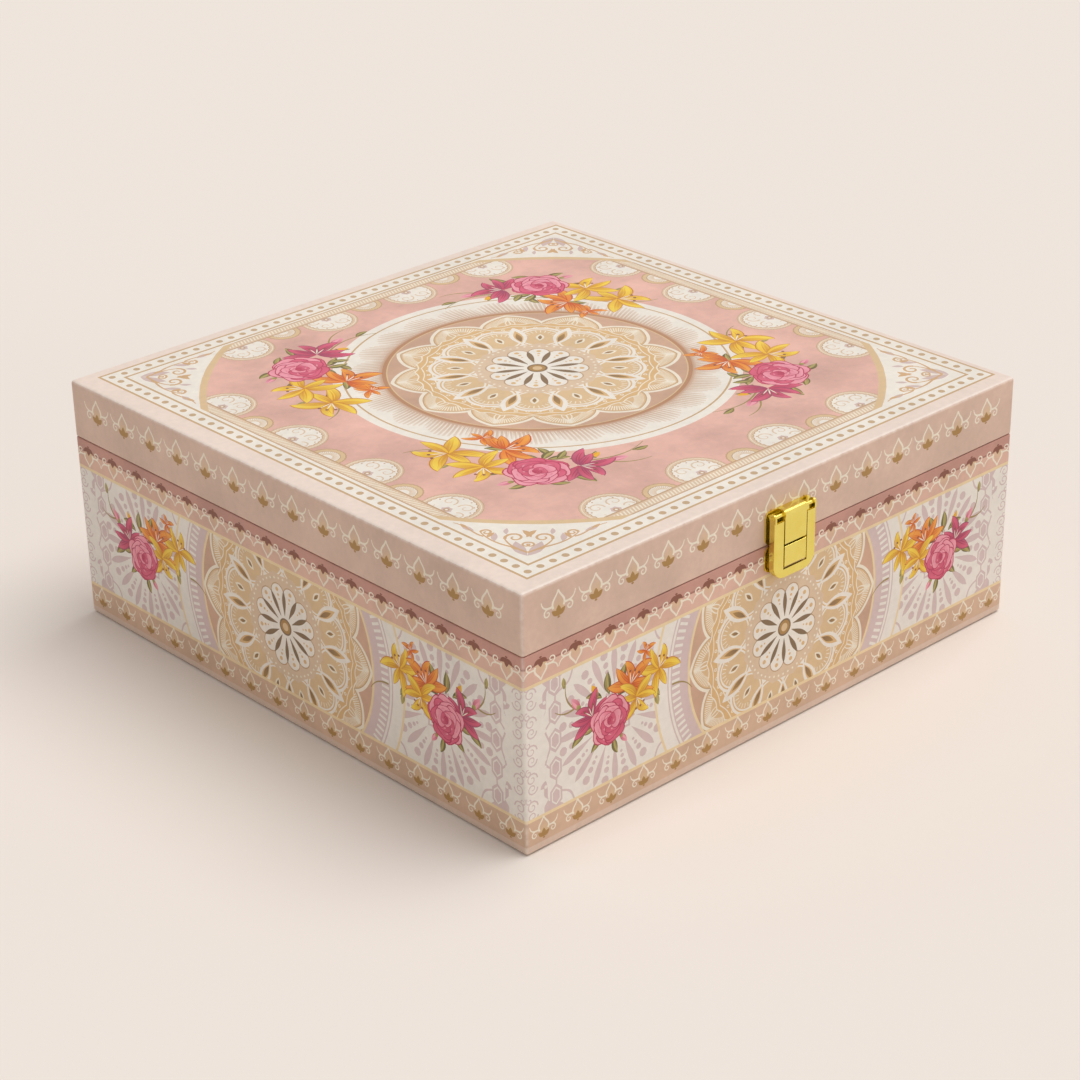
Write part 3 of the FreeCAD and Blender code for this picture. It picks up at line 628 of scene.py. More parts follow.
def doily(sheet, put, radius):
    """Doily cut off by the straight edge it rises from: a scalloped tan rim, a white disc and scrolls."""
    centre = 0.36j * radius

    def raised(outline):
        return put(above(centre + radius * outline))

    rims = (
        (1.25, 52, 0.03, "lace_line"), (1.22, 52, 0.03, "lace"), (1.15, 52, 0.02, "cream"),
        (1.12, 52, 0.02, "lace"), (1.04, 26, 0.05, "lace_line"), (1.0, 26, 0.05, "white"),
    )
    for reach, lobes, depth, ink in rims:
        sheet.lay(ink, raised(lobed(reach, lobes, depth)))
    for path in (curl(0.12 + 0.1j, 0.34, 200, -420), curl(0.45 - 0.28j, 0.26, 150, -380)):
        for half in (path, -np.conj(path)):
            sheet.lay("lace", raised(stroke(half + 0.15j, 0.07, 0.4)))
    sheet.lay("lilac", raised(lobed(0.25, 6, 0.05) - 0.2j))
    sheet.lay("lace_line", raised(disc(-0.2j, 0.13)))
    sheet.lay("white", raised(disc(-0.2j, 0.06)))
    for way in turns(12, 15)[:6]:
        sheet.lay("lace_line", raised(way * (0.86 + disc(0, 0.04))))


def small_scallop(sheet, put, radius):
    """Low tan scallop between two doilies: half a disc with a hatched white middle, cut off at the edge."""
    def raised(outline):
        return put(above(radius * outline))

    for reach, ink in ((1.0, "lace_line"), (0.93, "arc"), (0.72, "lace_line"), (0.67, "white")):
        sheet.lay(ink, raised(lobed(reach, 26, 0.03)))
    ways = np.exp(1j * np.radians(np.linspace(12, 168, 17)))
    sheet.lay("lace", put(radius * bars(0.3 * ways, 0.62 * ways, 0.05)))


def corner_scrolls(sheet, put):
    """Filigree of a corner, drawn from the corner along one edge and mirrored about the diagonal."""
    stems = (
        (curve(4 + 4j, 9 + 3.3j, 12 + 3.3j, 16 + 5.4j), 1.0), (curl(16 + 5.4j, 3.2, 298, 430), 1.1),
        (curve(9 + 3.7j, 15 + 1.2j, 20 + 1.4j, 25.2 + 3.4j), 0.9), (curl(25.2 + 3.4j, 2.0, 325, 430), 1.0),
        (curve(22 + 2j, 26 + 0.6j, 31 + 3.6j, 36 + 1.8j), 0.8), (curl(9 + 9j, 1.7, 60, -420), 0.8),
    )
    leaves = ((2.4 + 2.4j, 11, 8, "lilac"), (17 + 2.2j, 6, 30, "lilac"), (27 + 2.6j, 6, 345, "lilac"),
              (12 + 11j, 6, 60, "scroll"), (18 + 8j, 4.5, 30, "lilac"), (20.5 + 2j, 4.5, 60, "scroll"),
              (30 + 2.6j, 4, 350, "scroll"), (7 + 4j, 4, 330, "scroll"))
    for flip in (False, True):
        def place(outline, flip=flip):
            return put(1j * np.conj(outline) if flip else outline)

        for start, reach, way, ink in leaves:
            turn = np.exp(1j * math.radians(way))
            sheet.lay(ink, place(start + turn * leaf(reach, 0.36 * reach, bend=30)))
        for path, width in stems:
            sheet.lay("scroll", place(stroke(path, width, 0.5)))


# Printed faces


def lid_top_print(size, half):
    """Top of the lid: border, pink field with lace edges, corners, medallion and four sprays."""
    sheet = Sheet("margin", square(0, half))
    border, line = size.border_shift, size.gold_line
    inner = size.border_half - size.band
    for edge in (size.border_half, inner):
        sheet.lay("gold", square(border, edge + line / 2))
        sheet.lay("white", square(border, edge - line / 2))
    dot_row = size.border_half - size.band / 2
    count = round(2 * dot_row / size.dot_pitch)
    row = -dot_row * 1j + np.linspace(-dot_row, dot_row, count + 1)[:-1]
    places = border + (turns(4)[:, None] * row).reshape(-1, 1)
    sheet.lay("dot", places + disc(0, size.dot_radius))
    centre, edge = size.field_shift, size.field_half
    base_line = edge - size.strip
    sheet.lay("field", square(centre, edge))
    for quarter in turns(4):
        def from_edge(outline, quarter=quarter):
            return centre + quarter * (outline - 1j * base_line)

        for step in (-1, 0, 1):
            at = step * size.doily_pitch
            small_scallop(sheet, lambda z: from_edge(at + z), size.scallop_radius)
        for step in (-1.5, -0.5, 0.5, 1.5):
            at = step * size.doily_pitch
            doily(sheet, lambda z: from_edge(at + z), size.doily_radius)
        sheet.lay("lace", from_edge(oblong(-edge, -size.strip, edge, 0)))
        stripes = np.arange(-edge, edge, 1.5)
        feet = stripes - 1j * 0.82 * size.strip
        tops = stripes + 1.2 - 1j * 0.25 * size.strip
        sheet.lay("cream", from_edge(bars(feet, tops, 0.6)))
        sheet.lay("lace_line", from_edge(oblong(-edge, -0.5, edge, 0.2)))
        sheet.lay("lace_line", from_edge(oblong(-edge, -size.strip, edge, -size.strip + 0.5)))
    for quarter in turns(4):
        for radius, ink in ((size.field_radius, "arc"), (size.field_radius + size.arc_width, "white")):
            start = math.acos(edge / radius)
            arc = radius * np.exp(1j * np.linspace(np.pi / 2 - start, start, 24))
            sheet.lay(ink, centre + quarter * np.append(arc, edge + 1j * edge))
        corner = (edge + SCROLL_OVERHANG) * (1 + 1j)
        corner_scrolls(sheet, lambda z: centre + quarter * (corner - SCROLL_SCALE * z))
    lid_medallion(sheet, size.medallion_shift, size.medallion_radius)
    for x in (1, -1):
        for y in (1, -1):
            spray(sheet, lambda z: size.spray_shift + x * z.real + 1j * y * z.imag, LID_SPRAY)
    return sheet


def lid_medallion(sheet, centre, radius):
    """White ring with a gold line, feathering, brown ring and rosette."""
    scale = radius / MEDALLION_REACH

    def put(outline):
        return centre + scale * outline

    for ring, ink in ((MEDALLION_REACH, "white"), (75.3, "gold"), (74.5, "white")):
        sheet.lay(ink, put(disc(0, ring)))
    feather_count = 240
    around = np.linspace(0, 2 * np.pi, feather_count, endpoint=False)
    plume = 67.5 + 4.5 * np.abs(np.cos(12 * around))
    feathers = bars(58 * np.exp(1j * around), plume * np.exp(1j * (around + 0.03)), 1.75, 0.55)
    sheet.lay("haze", put(feathers), fade="haze_light")
    threads = np.exp(1j * (around + np.pi / feather_count))
    sheet.lay("haze_light", put(bars(61 * threads, 71 * threads * np.exp(0.03j), 0.4)), fade="white")
    for ring, ink in ((60.4, "haze"), (59.8, "ring"), (58.2, "arc"), (57.7, "disc")):
        sheet.lay(ink, put(disc(0, ring)))
    rosette(sheet, lambda z: put(1j * z))


def lid_side_print(size, half, low, high):
    """Side of the lid: plain taupe with a row of upright buds."""
    sheet = Sheet("taupe", oblong(-half, low, half, high))
    for step in np.arange(LID_SIDE_BUDS) - (LID_SIDE_BUDS - 1) / 2:
        foot = step * size.bud_pitch + 1j * size.bud_level
        lotus_bud(sheet, lambda z: foot + z, "bud_gold", "taupe")
    return sheet


def wall_lace(sheet, size, half):
    """Left half of the wall's lace: a wheel of spears and dots, and a scrolled end."""
    wheel = size.lace_place
    radius = size.lace_radius
    sixteen = turns(16)[:, None]
    between = turns(16, 11.25)[:, None]
    for reach, ink in ((1.3, "lace_white"), (1.155, "lavender"), (1.125, "lace_white")):
        sheet.lay(ink, wheel + radius * lobed(reach, 16, 0.1, blunt=1.3, first=11.25))
    sheet.lay("lavender", wheel + sixteen * radius * (0.38 + leaf(0.55, 0.1, 0.7, lean=1.7)))
    for place, dot in ((0.85, 0.062), (0.715, 0.043), (0.62, 0.03), (0.55, 0.022)):
        sheet.lay("lavender", wheel + between * radius * (place + disc(0, dot)))
    sheet.lay("lavender", wheel + radius * lobed(0.36, 16, 0.05))
    sheet.lay("lace_white", wheel + radius * lobed(0.32, 16, 0.05))
    sheet.lay("lavender", wheel + sixteen * radius * (0.08 + leaf(0.2, 0.06)))
    curls = (curl(3 + 0j, 2.6, 0, 480), curl(3 - 1j, 2.4, 0, -480) - 2.6j, curl(-1 + 4.4j, 1.6, 90, 430))
    cell = turns(6, 30)
    cell_rings = ((3.2, 4.7, "lavender"), (2.3, 3.5, "lace_white"), (1.8, 2.8, "lavender"))
    for row, level in enumerate(np.arange(size.lower_line + 5, size.upper_line, 10.6)):
        patch = -half + 2.5 + 1j * level
        sheet.lay("lace_white", patch + lobed(7.6, 9, 1.4, first=20 * row))
        for path in curls:
            sheet.lay("lavender", patch + stroke(path, 0.6, 0.6))
        for width, height, ink in cell_rings:
            sheet.lay(ink, patch + 11.2 + width * cell.real + 1j * height * cell.imag)
        sheet.lay("lace_white", patch + 9.4 + 5.3j + disc(0, 1.1))
        sheet.lay("lace_white", patch + 6.6 + 5.3j + disc(0, 0.7))


def wall_print(size, half, low, high):
    """Wall of the base: a main band of lace, dashed ring, rosette and sprays between two chains of buds."""
    sheet = Sheet("lavender", oblong(-half, low, half, high))
    centre = 1j * size.rosette_level
    left_lace = Sheet("lavender", oblong(-half, low, half, high))
    wall_lace(left_lace, size, half)
    for outline, (ink, fade) in zip(left_lace.outlines[1:], left_lace.inks[1:]):
        sheet.lay(ink, outline, fade)
        sheet.lay(ink, -np.conj(outline), fade)
    ring, dash = size.ring_radius, size.dash_radius
    for radius, ink in ((ring, "yellow_line"), (ring - 1, "lace_white"), (dash + 1.6, "lavender"),
                        (dash + 1, "lace_white"), (dash, "lavender")):
        sheet.lay(ink, centre + disc(0, radius))
    around = turns(132)
    sheet.lay("lace_white", centre + bars((dash - 4.4) * around, (dash - 0.6) * around, 1.1))
    edge = size.rosette_radius
    for radius, ink in ((edge + 1.2, "yellow_line"), (edge + 0.1, "disc")):
        sheet.lay(ink, centre + disc(0, radius))
    rosette(sheet, lambda z: centre + edge / ROSETTE_REACH * z)
    for side in (1, -1):
        def beside(outline, side=side):
            across = side * (WALL_SPRAY_SCALE * outline.real - WALL_SPRAY_PLACE)
            return centre + across + 1j * WALL_SPRAY_SCALE * outline.imag

        spray(sheet, beside, WALL_SPRAY)
    bands = (
        (low, size.lower_line, "chain"), (size.upper_line, high, "peach"),
        (size.rose_edge - SHADE_LINE, high, "rose_shade"), (size.rose_edge, high, "rose_band"),
        (low, FOOT_STRIP, "foot_line"),
    )
    for bottom, top, ink in bands:
        sheet.lay(ink, oblong(-half, bottom, half, top))
    for level in (size.lower_line, size.upper_line):
        sheet.lay("yellow_line", oblong(-half, level - size.line / 2, half, level + size.line / 2))
    count = round(2 * half / size.bud_pitch)
    for step in (np.arange(count) - (count - 1) / 2) * 2 * half / count:
        def standing(outline, step=step):
            return step + 1j * LOWER_BUDS + LOWER_BUD_SCALE * outline

        def hanging(outline, step=step):
            return step + 1j * (UPPER_BUDS - UPPER_BUD_SCALE * outline.imag) + outline.real

        lotus_bud(sheet, standing, "bud_gold", "chain")
        lotus_bud(sheet, hanging, "bud_brown", "peach")
    return sheet


# Folding


def folded_path(corners, roundings):
    """Profile of a folded sheet: its corners in order, each rounded by a quarter circle or left sharp.

    Returns the distance along the unrounded path, the distance from the box's axis and the height.
    """
    corners = np.array(corners, float)
    legs = np.diff(corners, axis=0)
    lengths = np.linalg.norm(legs, axis=1)
    ways = legs / lengths[:, None]
    travelled = np.concatenate([[0], np.cumsum(lengths)])
    rows = [(travelled[0], *corners[0])]
    for index, radius in enumerate(roundings, start=1):
        arriving, leaving = ways[index - 1], ways[index]
        sweep = np.linspace(0, np.pi / 2, FOLD_STEPS + 1) if radius else [0]
        for turn in sweep:
            place = corners[index] + radius * (leaving * (1 - np.cos(turn)) - arriving * (1 - np.sin(turn)))
            along = travelled[index] + radius * (2 * turn / (np.pi / 2) - 1)
            rows.append((along, *place))
    rows.append((travelled[-1], *corners[-1]))
    return np.array(rows).T


def rounded_box(points, low, high, radius):
    """Points on or in a sharp box moved so that its edges are round, and how far into a fold each one lies.

    Each point is taken from the nearest point of the box shrunk by the radius, and set as far from there in
    a straight line as it was along the axis on which it was farthest. A point on a flat face lies off that
    core along one axis, and one in a fold along two: the smaller of those two, over the radius, is its share
    of the fold.
    """
    core = np.clip(points, low + radius, high - radius)
    off = points - core
    reach = np.linalg.norm(off, axis=1)
    axes = np.sort(np.abs(off), axis=1)
    kept = axes[:, -1] / np.where(reach > 0, reach, 1)
    return core + off * kept[:, None], axes[:, -2] / radius


def quarter_turned(points, quarter):
    """Points turned about the upright axis by a number of quarter turns."""
    across, along, up = points.T
    turned = (across + 1j * along) * 1j ** quarter
    return np.column_stack([turned.real, turned.imag, up])


def four_sides(flat, travel, half, path):
    """Points of a flat side carried along a folded path by their travel, once for each side of the box."""
    along, out, level = path
    reach = np.interp(travel, along, out)
    folded = np.column_stack([flat.real * reach / half, -reach, np.interp(travel, along, level)])
    return [quarter_turned(folded, quarter) for quarter in range(4)]


def at_height(flat, height):
    """Points of a flat sheet laid level at a height."""
    return np.column_stack([flat.real, flat.imag, np.full(len(flat), height)])


def fold_creases(half):
    """Lines beside both ends of a sheet where it bends round a folded edge."""
    return np.concatenate([half - FOLD_LINES, FOLD_LINES - half])


def paper_shell(name, parts, low, high, body, node):
    """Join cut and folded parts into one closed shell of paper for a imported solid, and round its folds.

    Each part is its points in millimetres, its triangles and its corner colours. Points that meet become
    one.
    """
    firsts = np.cumsum([0] + [len(points) for points, _, _ in parts])
    points = np.concatenate([points for points, _, _ in parts])
    triangles = np.concatenate([triangles + first for (_, triangles, _), first in zip(parts, firsts)])
    colours = np.concatenate([colours for _, _, colours in parts])
    keys = np.round(points / MERGE).astype(np.int64)
    _, kept, merged = np.unique(keys, axis=0, return_index=True, return_inverse=True)
    points, triangles = points[kept], merged.reshape(-1)[triangles]
    whole = np.all(triangles != np.roll(triangles, 1, axis=1), axis=1)
    triangles, colours = triangles[whole], colours[whole]
    points, folds = rounded_box(points, low, high, FOLD_RADIUS)
    mesh = bpy.data.meshes.new(name)
    mesh.from_pydata((points * MM).tolist(), [], triangles.tolist())
    ink = mesh.color_attributes.new("ink", "FLOAT_COLOR", "CORNER")
    ink.data.foreach_set("color", colours.reshape(-1).astype(np.float32))
    fold = mesh.attributes.new("fold", "FLOAT", "POINT")
    fold.data.foreach_set("value", folds.astype(np.float32))
    mesh.materials.append(printed_paper())
    piece = bpy.data.objects.new(name, mesh)
    bpy.context.scene.collection.objects.link(piece)
    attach(piece, body)
    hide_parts(node)


# Materials


def add_node(tree, kind, links=(), **settings):
    """Add a node, set its properties and its named input sockets, and link outputs to its inputs."""
    node = tree.nodes.new(kind)
    for name, value in settings.items():
        if hasattr(node, name):
            setattr(node, name, value)
        else:
            node.inputs[name.replace("_", " ")].default_value = value
    for socket, output in dict(links).items():
        tree.links.new(output, node.inputs[socket])
    return node


def new_material(name):
    """Node material with no nodes yet, and its node tree."""
    material = bpy.data.materials.new(name)
    material.use_nodes = True
    material.node_tree.nodes.clear()
    return material, material.node_tree


def printed_paper():
    """Coated paper, offset printed: a soft sheen, inks clouded like watercolour, folds whitened partly by
    wearing, partly as a painted highlight.

    The ink's alpha says how strongly it is clouded. Paper fibres are too fine to show in the render, so the
    bump draws them as coarse as half a millimetre.
    """
    material, tree = new_material("offset printed coated paper")
    place = add_node(tree, "ShaderNodeTexCoord").outputs["Object"]
    ink = add_node(tree, "ShaderNodeAttribute", attribute_name="ink")
    fold = add_node(tree, "ShaderNodeAttribute", attribute_name="fold")
    cloud = add_node(
        tree, "ShaderNodeTexNoise", {"Vector": place}, Scale=1 / (26 * MM), Detail=5.0, Roughness=0.62)
    mottle = add_node(tree, "ShaderNodeTexNoise", {"Vector": place}, Scale=1 / (2.5 * MM), Detail=3.0)
    fibre = add_node(tree, "ShaderNodeTexNoise", {"Vector": place}, Scale=1 / (0.5 * MM), Detail=3.0)
    clouded = add_node(
        tree, "ShaderNodeMapRange", {"Value": cloud.outputs["Fac"]}, **NOISE_SPAN, To_Min=-0.16, To_Max=0.16)
    clouding = add_node(
        tree, "ShaderNodeMath", {0: clouded.outputs["Result"], 1: ink.outputs["Alpha"]},
        operation="MULTIPLY")
    mottled = add_node(
        tree, "ShaderNodeMapRange", {"Value": mottle.outputs["Fac"]}, **NOISE_SPAN,
        To_Min=0.915, To_Max=0.985)
    tone = add_node(
        tree, "ShaderNodeMath", {0: clouding.outputs["Value"], 1: mottled.outputs["Result"]},
        operation="ADD")
    shaded = add_node(
        tree, "ShaderNodeVectorMath", {0: ink.outputs["Color"], 1: tone.outputs["Value"]},
        operation="MULTIPLY")
    # Folds turn towards the paper's white: partly from wearing, partly a painted highlight where light
    # catches the rounded edges.
    wear_and_highlight = add_node(
        tree, "ShaderNodeMapRange", {"Value": mottle.outputs["Fac"]}, **NOISE_SPAN, To_Min=0.1, To_Max=0.6)
    rubbed_and_highlit = add_node(
        tree, "ShaderNodeMath", {0: fold.outputs["Fac"], 1: wear_and_highlight.outputs["Result"]}, operation="MULTIPLY")
    worn_and_highlit = add_node(
        tree, "ShaderNodeMix", {"Factor": rubbed_and_highlit.outputs["Value"], "A": shaded.outputs["Vector"]},
        data_type="RGBA", B=(*linear("#F6EEE4"), 1))
    sheen = add_node(
        tree, "ShaderNodeMapRange", {"Value": mottle.outputs["Fac"]}, **NOISE_SPAN, To_Min=0.42, To_Max=0.58)
    bump = add_node(
        tree, "ShaderNodeBump", {"Height": fibre.outputs["Fac"]}, Strength=0.12, Distance=0.05 * MM)
    surface = add_node(
        tree, "ShaderNodeBsdfPrincipled",
        {"Base Color": worn_and_highlit.outputs["Result"], "Normal": bump.outputs["Normal"],
         "Roughness": sheen.outputs["Result"]})
    add_node(tree, "ShaderNodeOutputMaterial", {"Surface": surface.outputs["BSDF"]})
    return material


def plain_paper(name, hex_colour):
    """Uncoated paper or board: matt, with a faint cloud of fibres, as coarse as 3 mm so that it shows."""
    material, tree = new_material(name)
    shade = np.array(linear(hex_colour))
    place = add_node(tree, "ShaderNodeTexCoord").outputs["Object"]
    cloud = add_node(tree, "ShaderNodeTexNoise", {"Vector": place}, Scale=1 / (3 * MM), Detail=5.0)
    mix = add_node(
        tree, "ShaderNodeMix", {"Factor": cloud.outputs["Fac"]}, data_type="RGBA",
        A=(*(shade * 0.9), 1), B=(*np.minimum(shade * 1.06, 1), 1))
    bump = add_node(
        tree, "ShaderNodeBump", {"Height": cloud.outputs["Fac"]}, Strength=0.1, Distance=0.05 * MM)
    surface = add_node(
        tree, "ShaderNodeBsdfPrincipled",
        {"Base Color": mix.outputs["Result"], "Normal": bump.outputs["Normal"]}, Roughness=0.75)
    add_node(tree, "ShaderNodeOutputMaterial", {"Surface": surface.outputs["BSDF"]})
    return material


def gilt_steel():
    """Steel with a bright lemon brass plating: pressed, glossy, a little duller from touch to touch."""
    material, tree = new_material("lemon brass plated steel")
    place = add_node(tree, "ShaderNodeTexCoord").outputs["Object"]
    smudge = add_node(tree, "ShaderNodeTexNoise", {"Vector": place}, Scale=1 / (4 * MM), Detail=4.0)
    tone = add_node(
        tree, "ShaderNodeMix", {"Factor": smudge.outputs["Fac"]}, data_type="RGBA",
        A=(*linear("#EBD560"), 1), B=(*linear("#F6E884"), 1))
    gloss = add_node(
        tree, "ShaderNodeMapRange", {"Value": smudge.outputs["Fac"]}, **NOISE_SPAN, To_Min=0.14, To_Max=0.26)
    surface = add_node(
        tree, "ShaderNodeBsdfPrincipled",
        {"Base Color": tone.outputs["Result"], "Roughness": gloss.outputs["Result"]}, Metallic=1.0)
    add_node(tree, "ShaderNodeOutputMaterial", {"Surface": surface.outputs["BSDF"]})
    return material


def studio_paper(backdrop):
    """Seamless studio paper: matt and of one colour, with a grain of 1 mm that only just shows."""
    material, tree = new_material("matt studio paper")
    place = add_node(tree, "ShaderNodeTexCoord").outputs["Object"]
    grain = add_node(tree, "ShaderNodeTexNoise", {"Vector": place}, Scale=1 / (1 * MM))
    bump = add_node(
        tree, "ShaderNodeBump", {"Height": grain.outputs["Fac"]}, Strength=0.02, Distance=0.1 * MM)
    surface = add_node(
        tree, "ShaderNodeBsdfDiffuse", {"Normal": bump.outputs["Normal"]}, Color=(*backdrop, 1))
    add_node(tree, "ShaderNodeOutputMaterial", {"Surface": surface.outputs["BSDF"]})
    return material


def dress(nodes, material):
    """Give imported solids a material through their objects' slots."""
    for name in nodes:
        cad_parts[name].material_slots[0].link = "OBJECT"
        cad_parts[name].material_slots[0].material = material


# Operators


def ink_table(context):
    """Each ink's colour, with an alpha that says how strongly the print clouds it."""
    inks = context.scene.sweet_box_inks
    names = inks.__annotations__
    return {name: (*getattr(inks, name), CLOUDED.get(name, CLOUDED_LITTLE)) for name in names}


class SWEETBOX_OT_lid_paper(bpy.types.Operator):
    """Print the lid's paper and fold it over the lid"""

    bl_idname = "sweetbox.lid_paper"
    bl_label = "Lid paper"

    def execute(self, context):
        low, high = (np.array(corner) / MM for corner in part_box("lid_wrap"))
        half = high[0]
        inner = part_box("lid_front_rim")[1][1] / -MM - PAPER
        turned_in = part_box("lid_rim_lining")[0][2] / MM
        size = in_millimetres(context.scene.sweet_box_lid)
        inks = ink_table(context)
        rim, top = low[2], high[2]
        corners = ((half, top), (half, rim), (inner, rim), (inner, turned_in), (inner + PAPER, turned_in),
                   (inner + PAPER, rim + PAPER), (half - PAPER, rim + PAPER), (half - PAPER, top - PAPER))
        path = folded_path(corners, (RIM_RADIUS, PAPER, 0, 0, 0, 0))
        along = path[0]
        creases = fold_creases(half)
        side = lid_side_print(size, half, top - along[-1], top)
        heights = np.concatenate([top - along[1:-1], top - FOLD_LINES])
        flat, triangles, colours = side.cut(creases, heights, inks)
        sides = four_sides(flat, top - flat.imag, half, path)
        parts = [(points, triangles, colours) for points in sides]
        flat, triangles, colours = lid_top_print(size, half).cut(creases, creases, inks)
        parts.append((at_height(flat, top), triangles, colours))
        flat, triangles, colours = Sheet("white", square(0, half)).cut(creases, creases, inks)
        flat = flat * (half - PAPER) / half
        parts.append((at_height(flat, top - PAPER), triangles[:, ::-1], colours))
        below = low - np.array([0, 0, 2 * FOLD_RADIUS])
        paper_shell("lid_paper", parts, below, high, "lid", "lid_wrap")
        return {"FINISHED"}


class SWEETBOX_OT_base_paper(bpy.types.Operator):
    """Print the base's paper and fold it round the walls"""

    bl_idname = "sweetbox.base_paper"
    bl_label = "Base paper"

    def execute(self, context):
        low, high = (np.array(corner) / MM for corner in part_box("base_wrap"))
        half = high[0]
        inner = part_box("base_front_wall")[1][1] / -MM - PAPER
        turned_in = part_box("base_wall_lining")[1][2] / MM
        turned_under = half - TURN_UNDER
        size = in_millimetres(context.scene.sweet_box_wall)
        inks = ink_table(context)
        floor, rim = low[2], high[2]
        corners = ((turned_under, floor), (half, floor), (half, rim), (inner, rim), (inner, turned_in),
                   (inner + PAPER, turned_in), (inner + PAPER, rim - PAPER), (half - PAPER, rim - PAPER),
                   (half - PAPER, floor + PAPER), (turned_under, floor + PAPER), (turned_under, floor))
        path = folded_path(corners, (0, RIM_RADIUS, PAPER, 0, 0, 0, 0, 0, 0))
        along = path[0]
        start = floor - (half - turned_under)
        creases = fold_creases(half)
        fold = np.linspace(-FOLD_RADIUS, FOLD_RADIUS, 2 * FOLD_STEPS + 1)
        heights = np.concatenate([start + along[1:-1], floor + fold])
        wall = wall_print(size, half, start, start + along[-1])
        flat, triangles, colours = wall.cut(creases, heights, inks)
        sides = four_sides(flat, flat.imag - start, half, path)
        parts = [(points, triangles, colours) for points in sides]
        raised = high + np.array([0, 0, 2 * FOLD_RADIUS])
        paper_shell("base_paper", parts, low, raised, "base", "base_wrap")
        return {"FINISHED"}


class SWEETBOX_OT_linings(bpy.types.Operator):
    """Give the linings, the underside and the boards their paper and fibre finishes"""

    bl_idname = "sweetbox.linings"
    bl_label = "Linings and boards"

    def execute(self, context):
        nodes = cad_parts
        linings = [name for name in nodes if name.endswith("lining")]
        dress(linings, plain_paper("uncoated ivory lining paper", "#EFE4CF"))
        dress(["base_underside_sheet"], plain_paper("uncoated kraft paper", "#C7A27C"))
        boards = [name for name in nodes if name.endswith(("wall", "rim", "floor", "panel"))]
        dress(boards, plain_paper("grey fibreboard", "#9C8468"))
        return {"FINISHED"}


class SWEETBOX_OT_fittings(bpy.types.Operator):
    """Plate the hinges, the latch and their tacks"""

    bl_idname = "sweetbox.fittings"
    bl_label = "Hinges and latch"

    def execute(self, context):
        fittings = [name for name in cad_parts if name.startswith(("hinge", "latch"))]
        dress(fittings, gilt_steel())
        return {"FINISHED"}


def lay_floor(scene, settings):
    """Lay a level sheet of studio paper under the box."""
    reach = FLOOR_REACH
    corners = [(-reach, -reach, 0), (reach, -reach, 0), (reach, reach, 0), (-reach, reach, 0)]
    mesh = bpy.data.meshes.new("floor")
    mesh.from_pydata(corners, [], [(0, 1, 2, 3)])
    mesh.materials.append(studio_paper(settings.backdrop))
    floor = bpy.data.objects.new("floor", mesh)
    scene.collection.objects.link(floor)


def hang_lights(scene, settings):
    """Light the box all round and by two lamps, while the camera and gloss see the backdrop's colour."""
    world = bpy.data.worlds.new("studio")
    world.use_nodes = True
    scene.world = world
    tree = world.node_tree
    tree.nodes.clear()
    ray = add_node(tree, "ShaderNodeLightPath")
    seen = add_node(
        tree, "ShaderNodeMath", {0: ray.outputs["Is Camera Ray"], 1: ray.outputs["Is Glossy Ray"]},
        operation="MAXIMUM")
    light = add_node(tree, "ShaderNodeBackground", Strength=settings.sky_light, Color=(1, 1, 1, 1))
    backdrop = add_node(tree, "ShaderNodeBackground", Color=(*settings.backdrop, 1))
    sky = add_node(
        tree, "ShaderNodeMixShader",
        {"Fac": seen.outputs["Value"], 1: light.outputs["Background"], 2: backdrop.outputs["Background"]})
    add_node(tree, "ShaderNodeOutputWorld", {"Surface": sky.outputs["Shader"]})
    lamps = (
        ("key", settings.key_light, 46, (0.38, -0.22, 1)),
        ("fill", settings.fill_light, 20, (0.3, -1, 0.25)),
    )
    for name, energy, softness, way in lamps:
        lamp = bpy.data.lights.new(name, "SUN")
        lamp.energy = energy
        lamp.angle = math.radians(softness)
        sun = bpy.data.objects.new(name, lamp)
        sun.rotation_euler = Vector(way).to_track_quat("Z", "Y").to_euler()
        scene.collection.objects.link(sun)


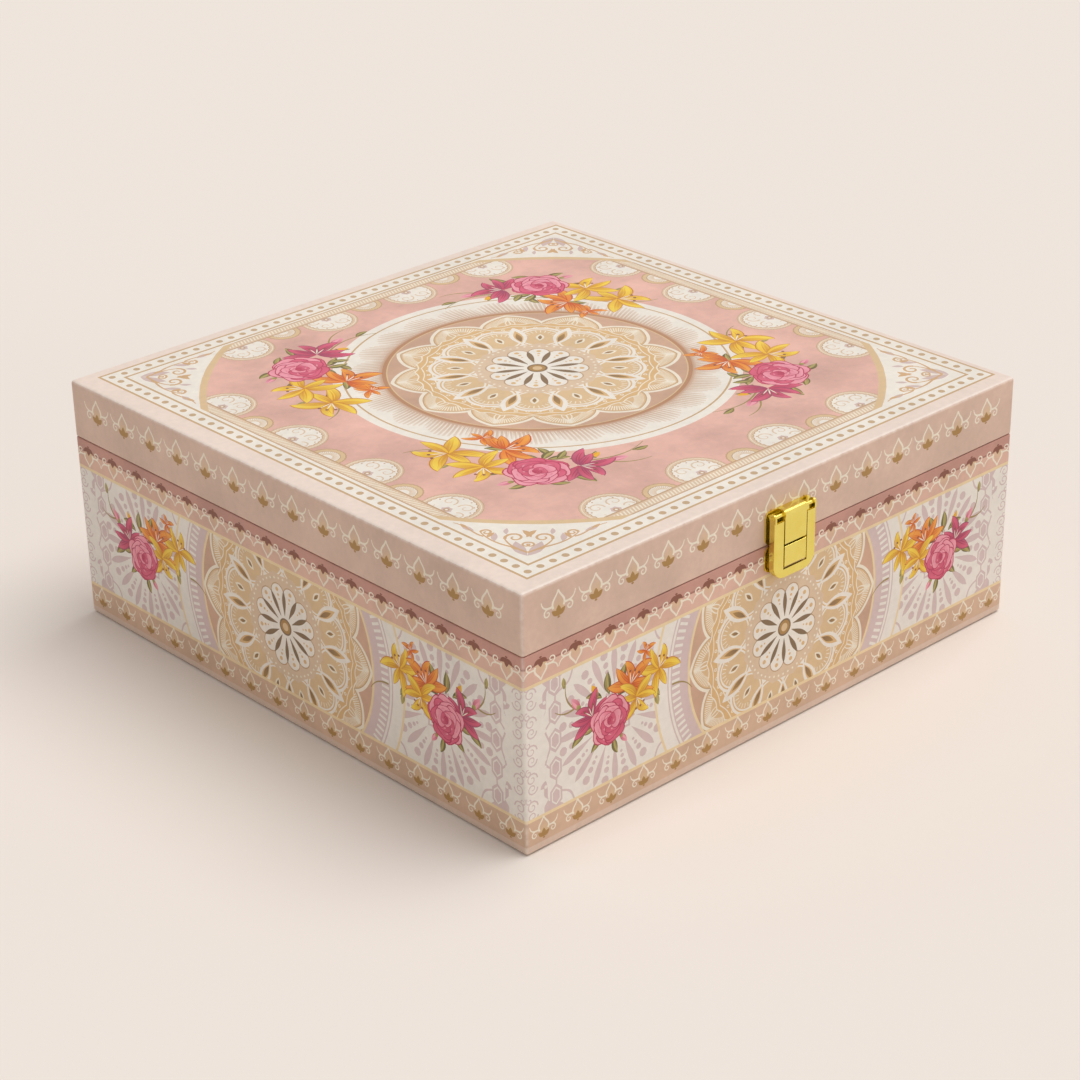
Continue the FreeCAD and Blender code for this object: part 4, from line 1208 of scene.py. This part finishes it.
def aim_camera(scene, settings):
    """Set the camera at its distance from the target, on the side and at the roll of the photo."""
    azimuth, elevation, roll = settings.azimuth, settings.elevation, settings.roll
    level = math.cos(elevation)
    back = np.array([math.sin(azimuth) * level, -math.cos(azimuth) * level, math.sin(elevation)])
    right = np.array([math.cos(azimuth), math.sin(azimuth), 0])
    up = np.cross(back, right)
    turned_right = math.cos(roll) * right - math.sin(roll) * up
    turned_up = math.sin(roll) * right + math.cos(roll) * up
    camera = bpy.data.objects.new("camera", bpy.data.cameras.new("camera"))
    camera.data.lens = settings.lens
    camera.data.clip_start = 10 * MM
    place = np.array(settings.target) + settings.distance * back
    columns = np.column_stack([turned_right, turned_up, back, place])
    camera.matrix_world = Matrix(np.vstack([columns, [0, 0, 0, 1]]).tolist())
    scene.collection.objects.link(camera)
    scene.camera = camera


class SWEETBOX_OT_stage(bpy.types.Operator):
    """Set the floor, the light and the camera"""

    bl_idname = "sweetbox.stage"
    bl_label = "Stage"

    def execute(self, context):
        scene = context.scene
        settings = scene.sweet_box_stage
        scene.view_settings.view_transform = "Standard"
        lay_floor(scene, settings)
        hang_lights(scene, settings)
        aim_camera(scene, settings)
        return {"FINISHED"}


class SWEETBOX_PT_panel(bpy.types.Panel):
    """Sidebar panel that lists the pieces of the box"""

    bl_idname = "SWEETBOX_PT_panel"
    bl_label = "Sweet Box"
    bl_space_type = "VIEW_3D"
    bl_region_type = "UI"
    bl_category = "Sweet Box"

    def draw(self, context):
        for operator in OPERATORS:
            self.layout.operator(operator.bl_idname)
        for group, _ in GROUPS:
            settings = getattr(context.scene, group)
            for name in settings.__annotations__:
                self.layout.prop(settings, name)


OPERATORS = (
    SWEETBOX_OT_lid_paper,
    SWEETBOX_OT_base_paper,
    SWEETBOX_OT_linings,
    SWEETBOX_OT_fittings,
    SWEETBOX_OT_stage,
)
GROUPS = (
    ("sweet_box_inks", SweetBoxInks),
    ("sweet_box_lid", SweetBoxLidPrint),
    ("sweet_box_wall", SweetBoxWallPrint),
    ("sweet_box_stage", SweetBoxStage),
)


def register():
    """Register the property groups, the operators and the panel."""
    for name, group in GROUPS:
        bpy.utils.register_class(group)
        setattr(bpy.types.Scene, name, bpy.props.PointerProperty(type=group))
    for item in (*OPERATORS, SWEETBOX_PT_panel):
        bpy.utils.register_class(item)


def unregister():
    """Undo register, in the opposite order."""
    for item in (SWEETBOX_PT_panel, *reversed(OPERATORS)):
        bpy.utils.unregister_class(item)
    for name, group in reversed(GROUPS):
        delattr(bpy.types.Scene, name)
        bpy.utils.unregister_class(group)


def main():
    register()
    bpy.ops.sweetbox.lid_paper()
    bpy.ops.sweetbox.base_paper()
    bpy.ops.sweetbox.linings()
    bpy.ops.sweetbox.fittings()
    bpy.ops.sweetbox.stage()


if __name__ == "__main__":
    main()
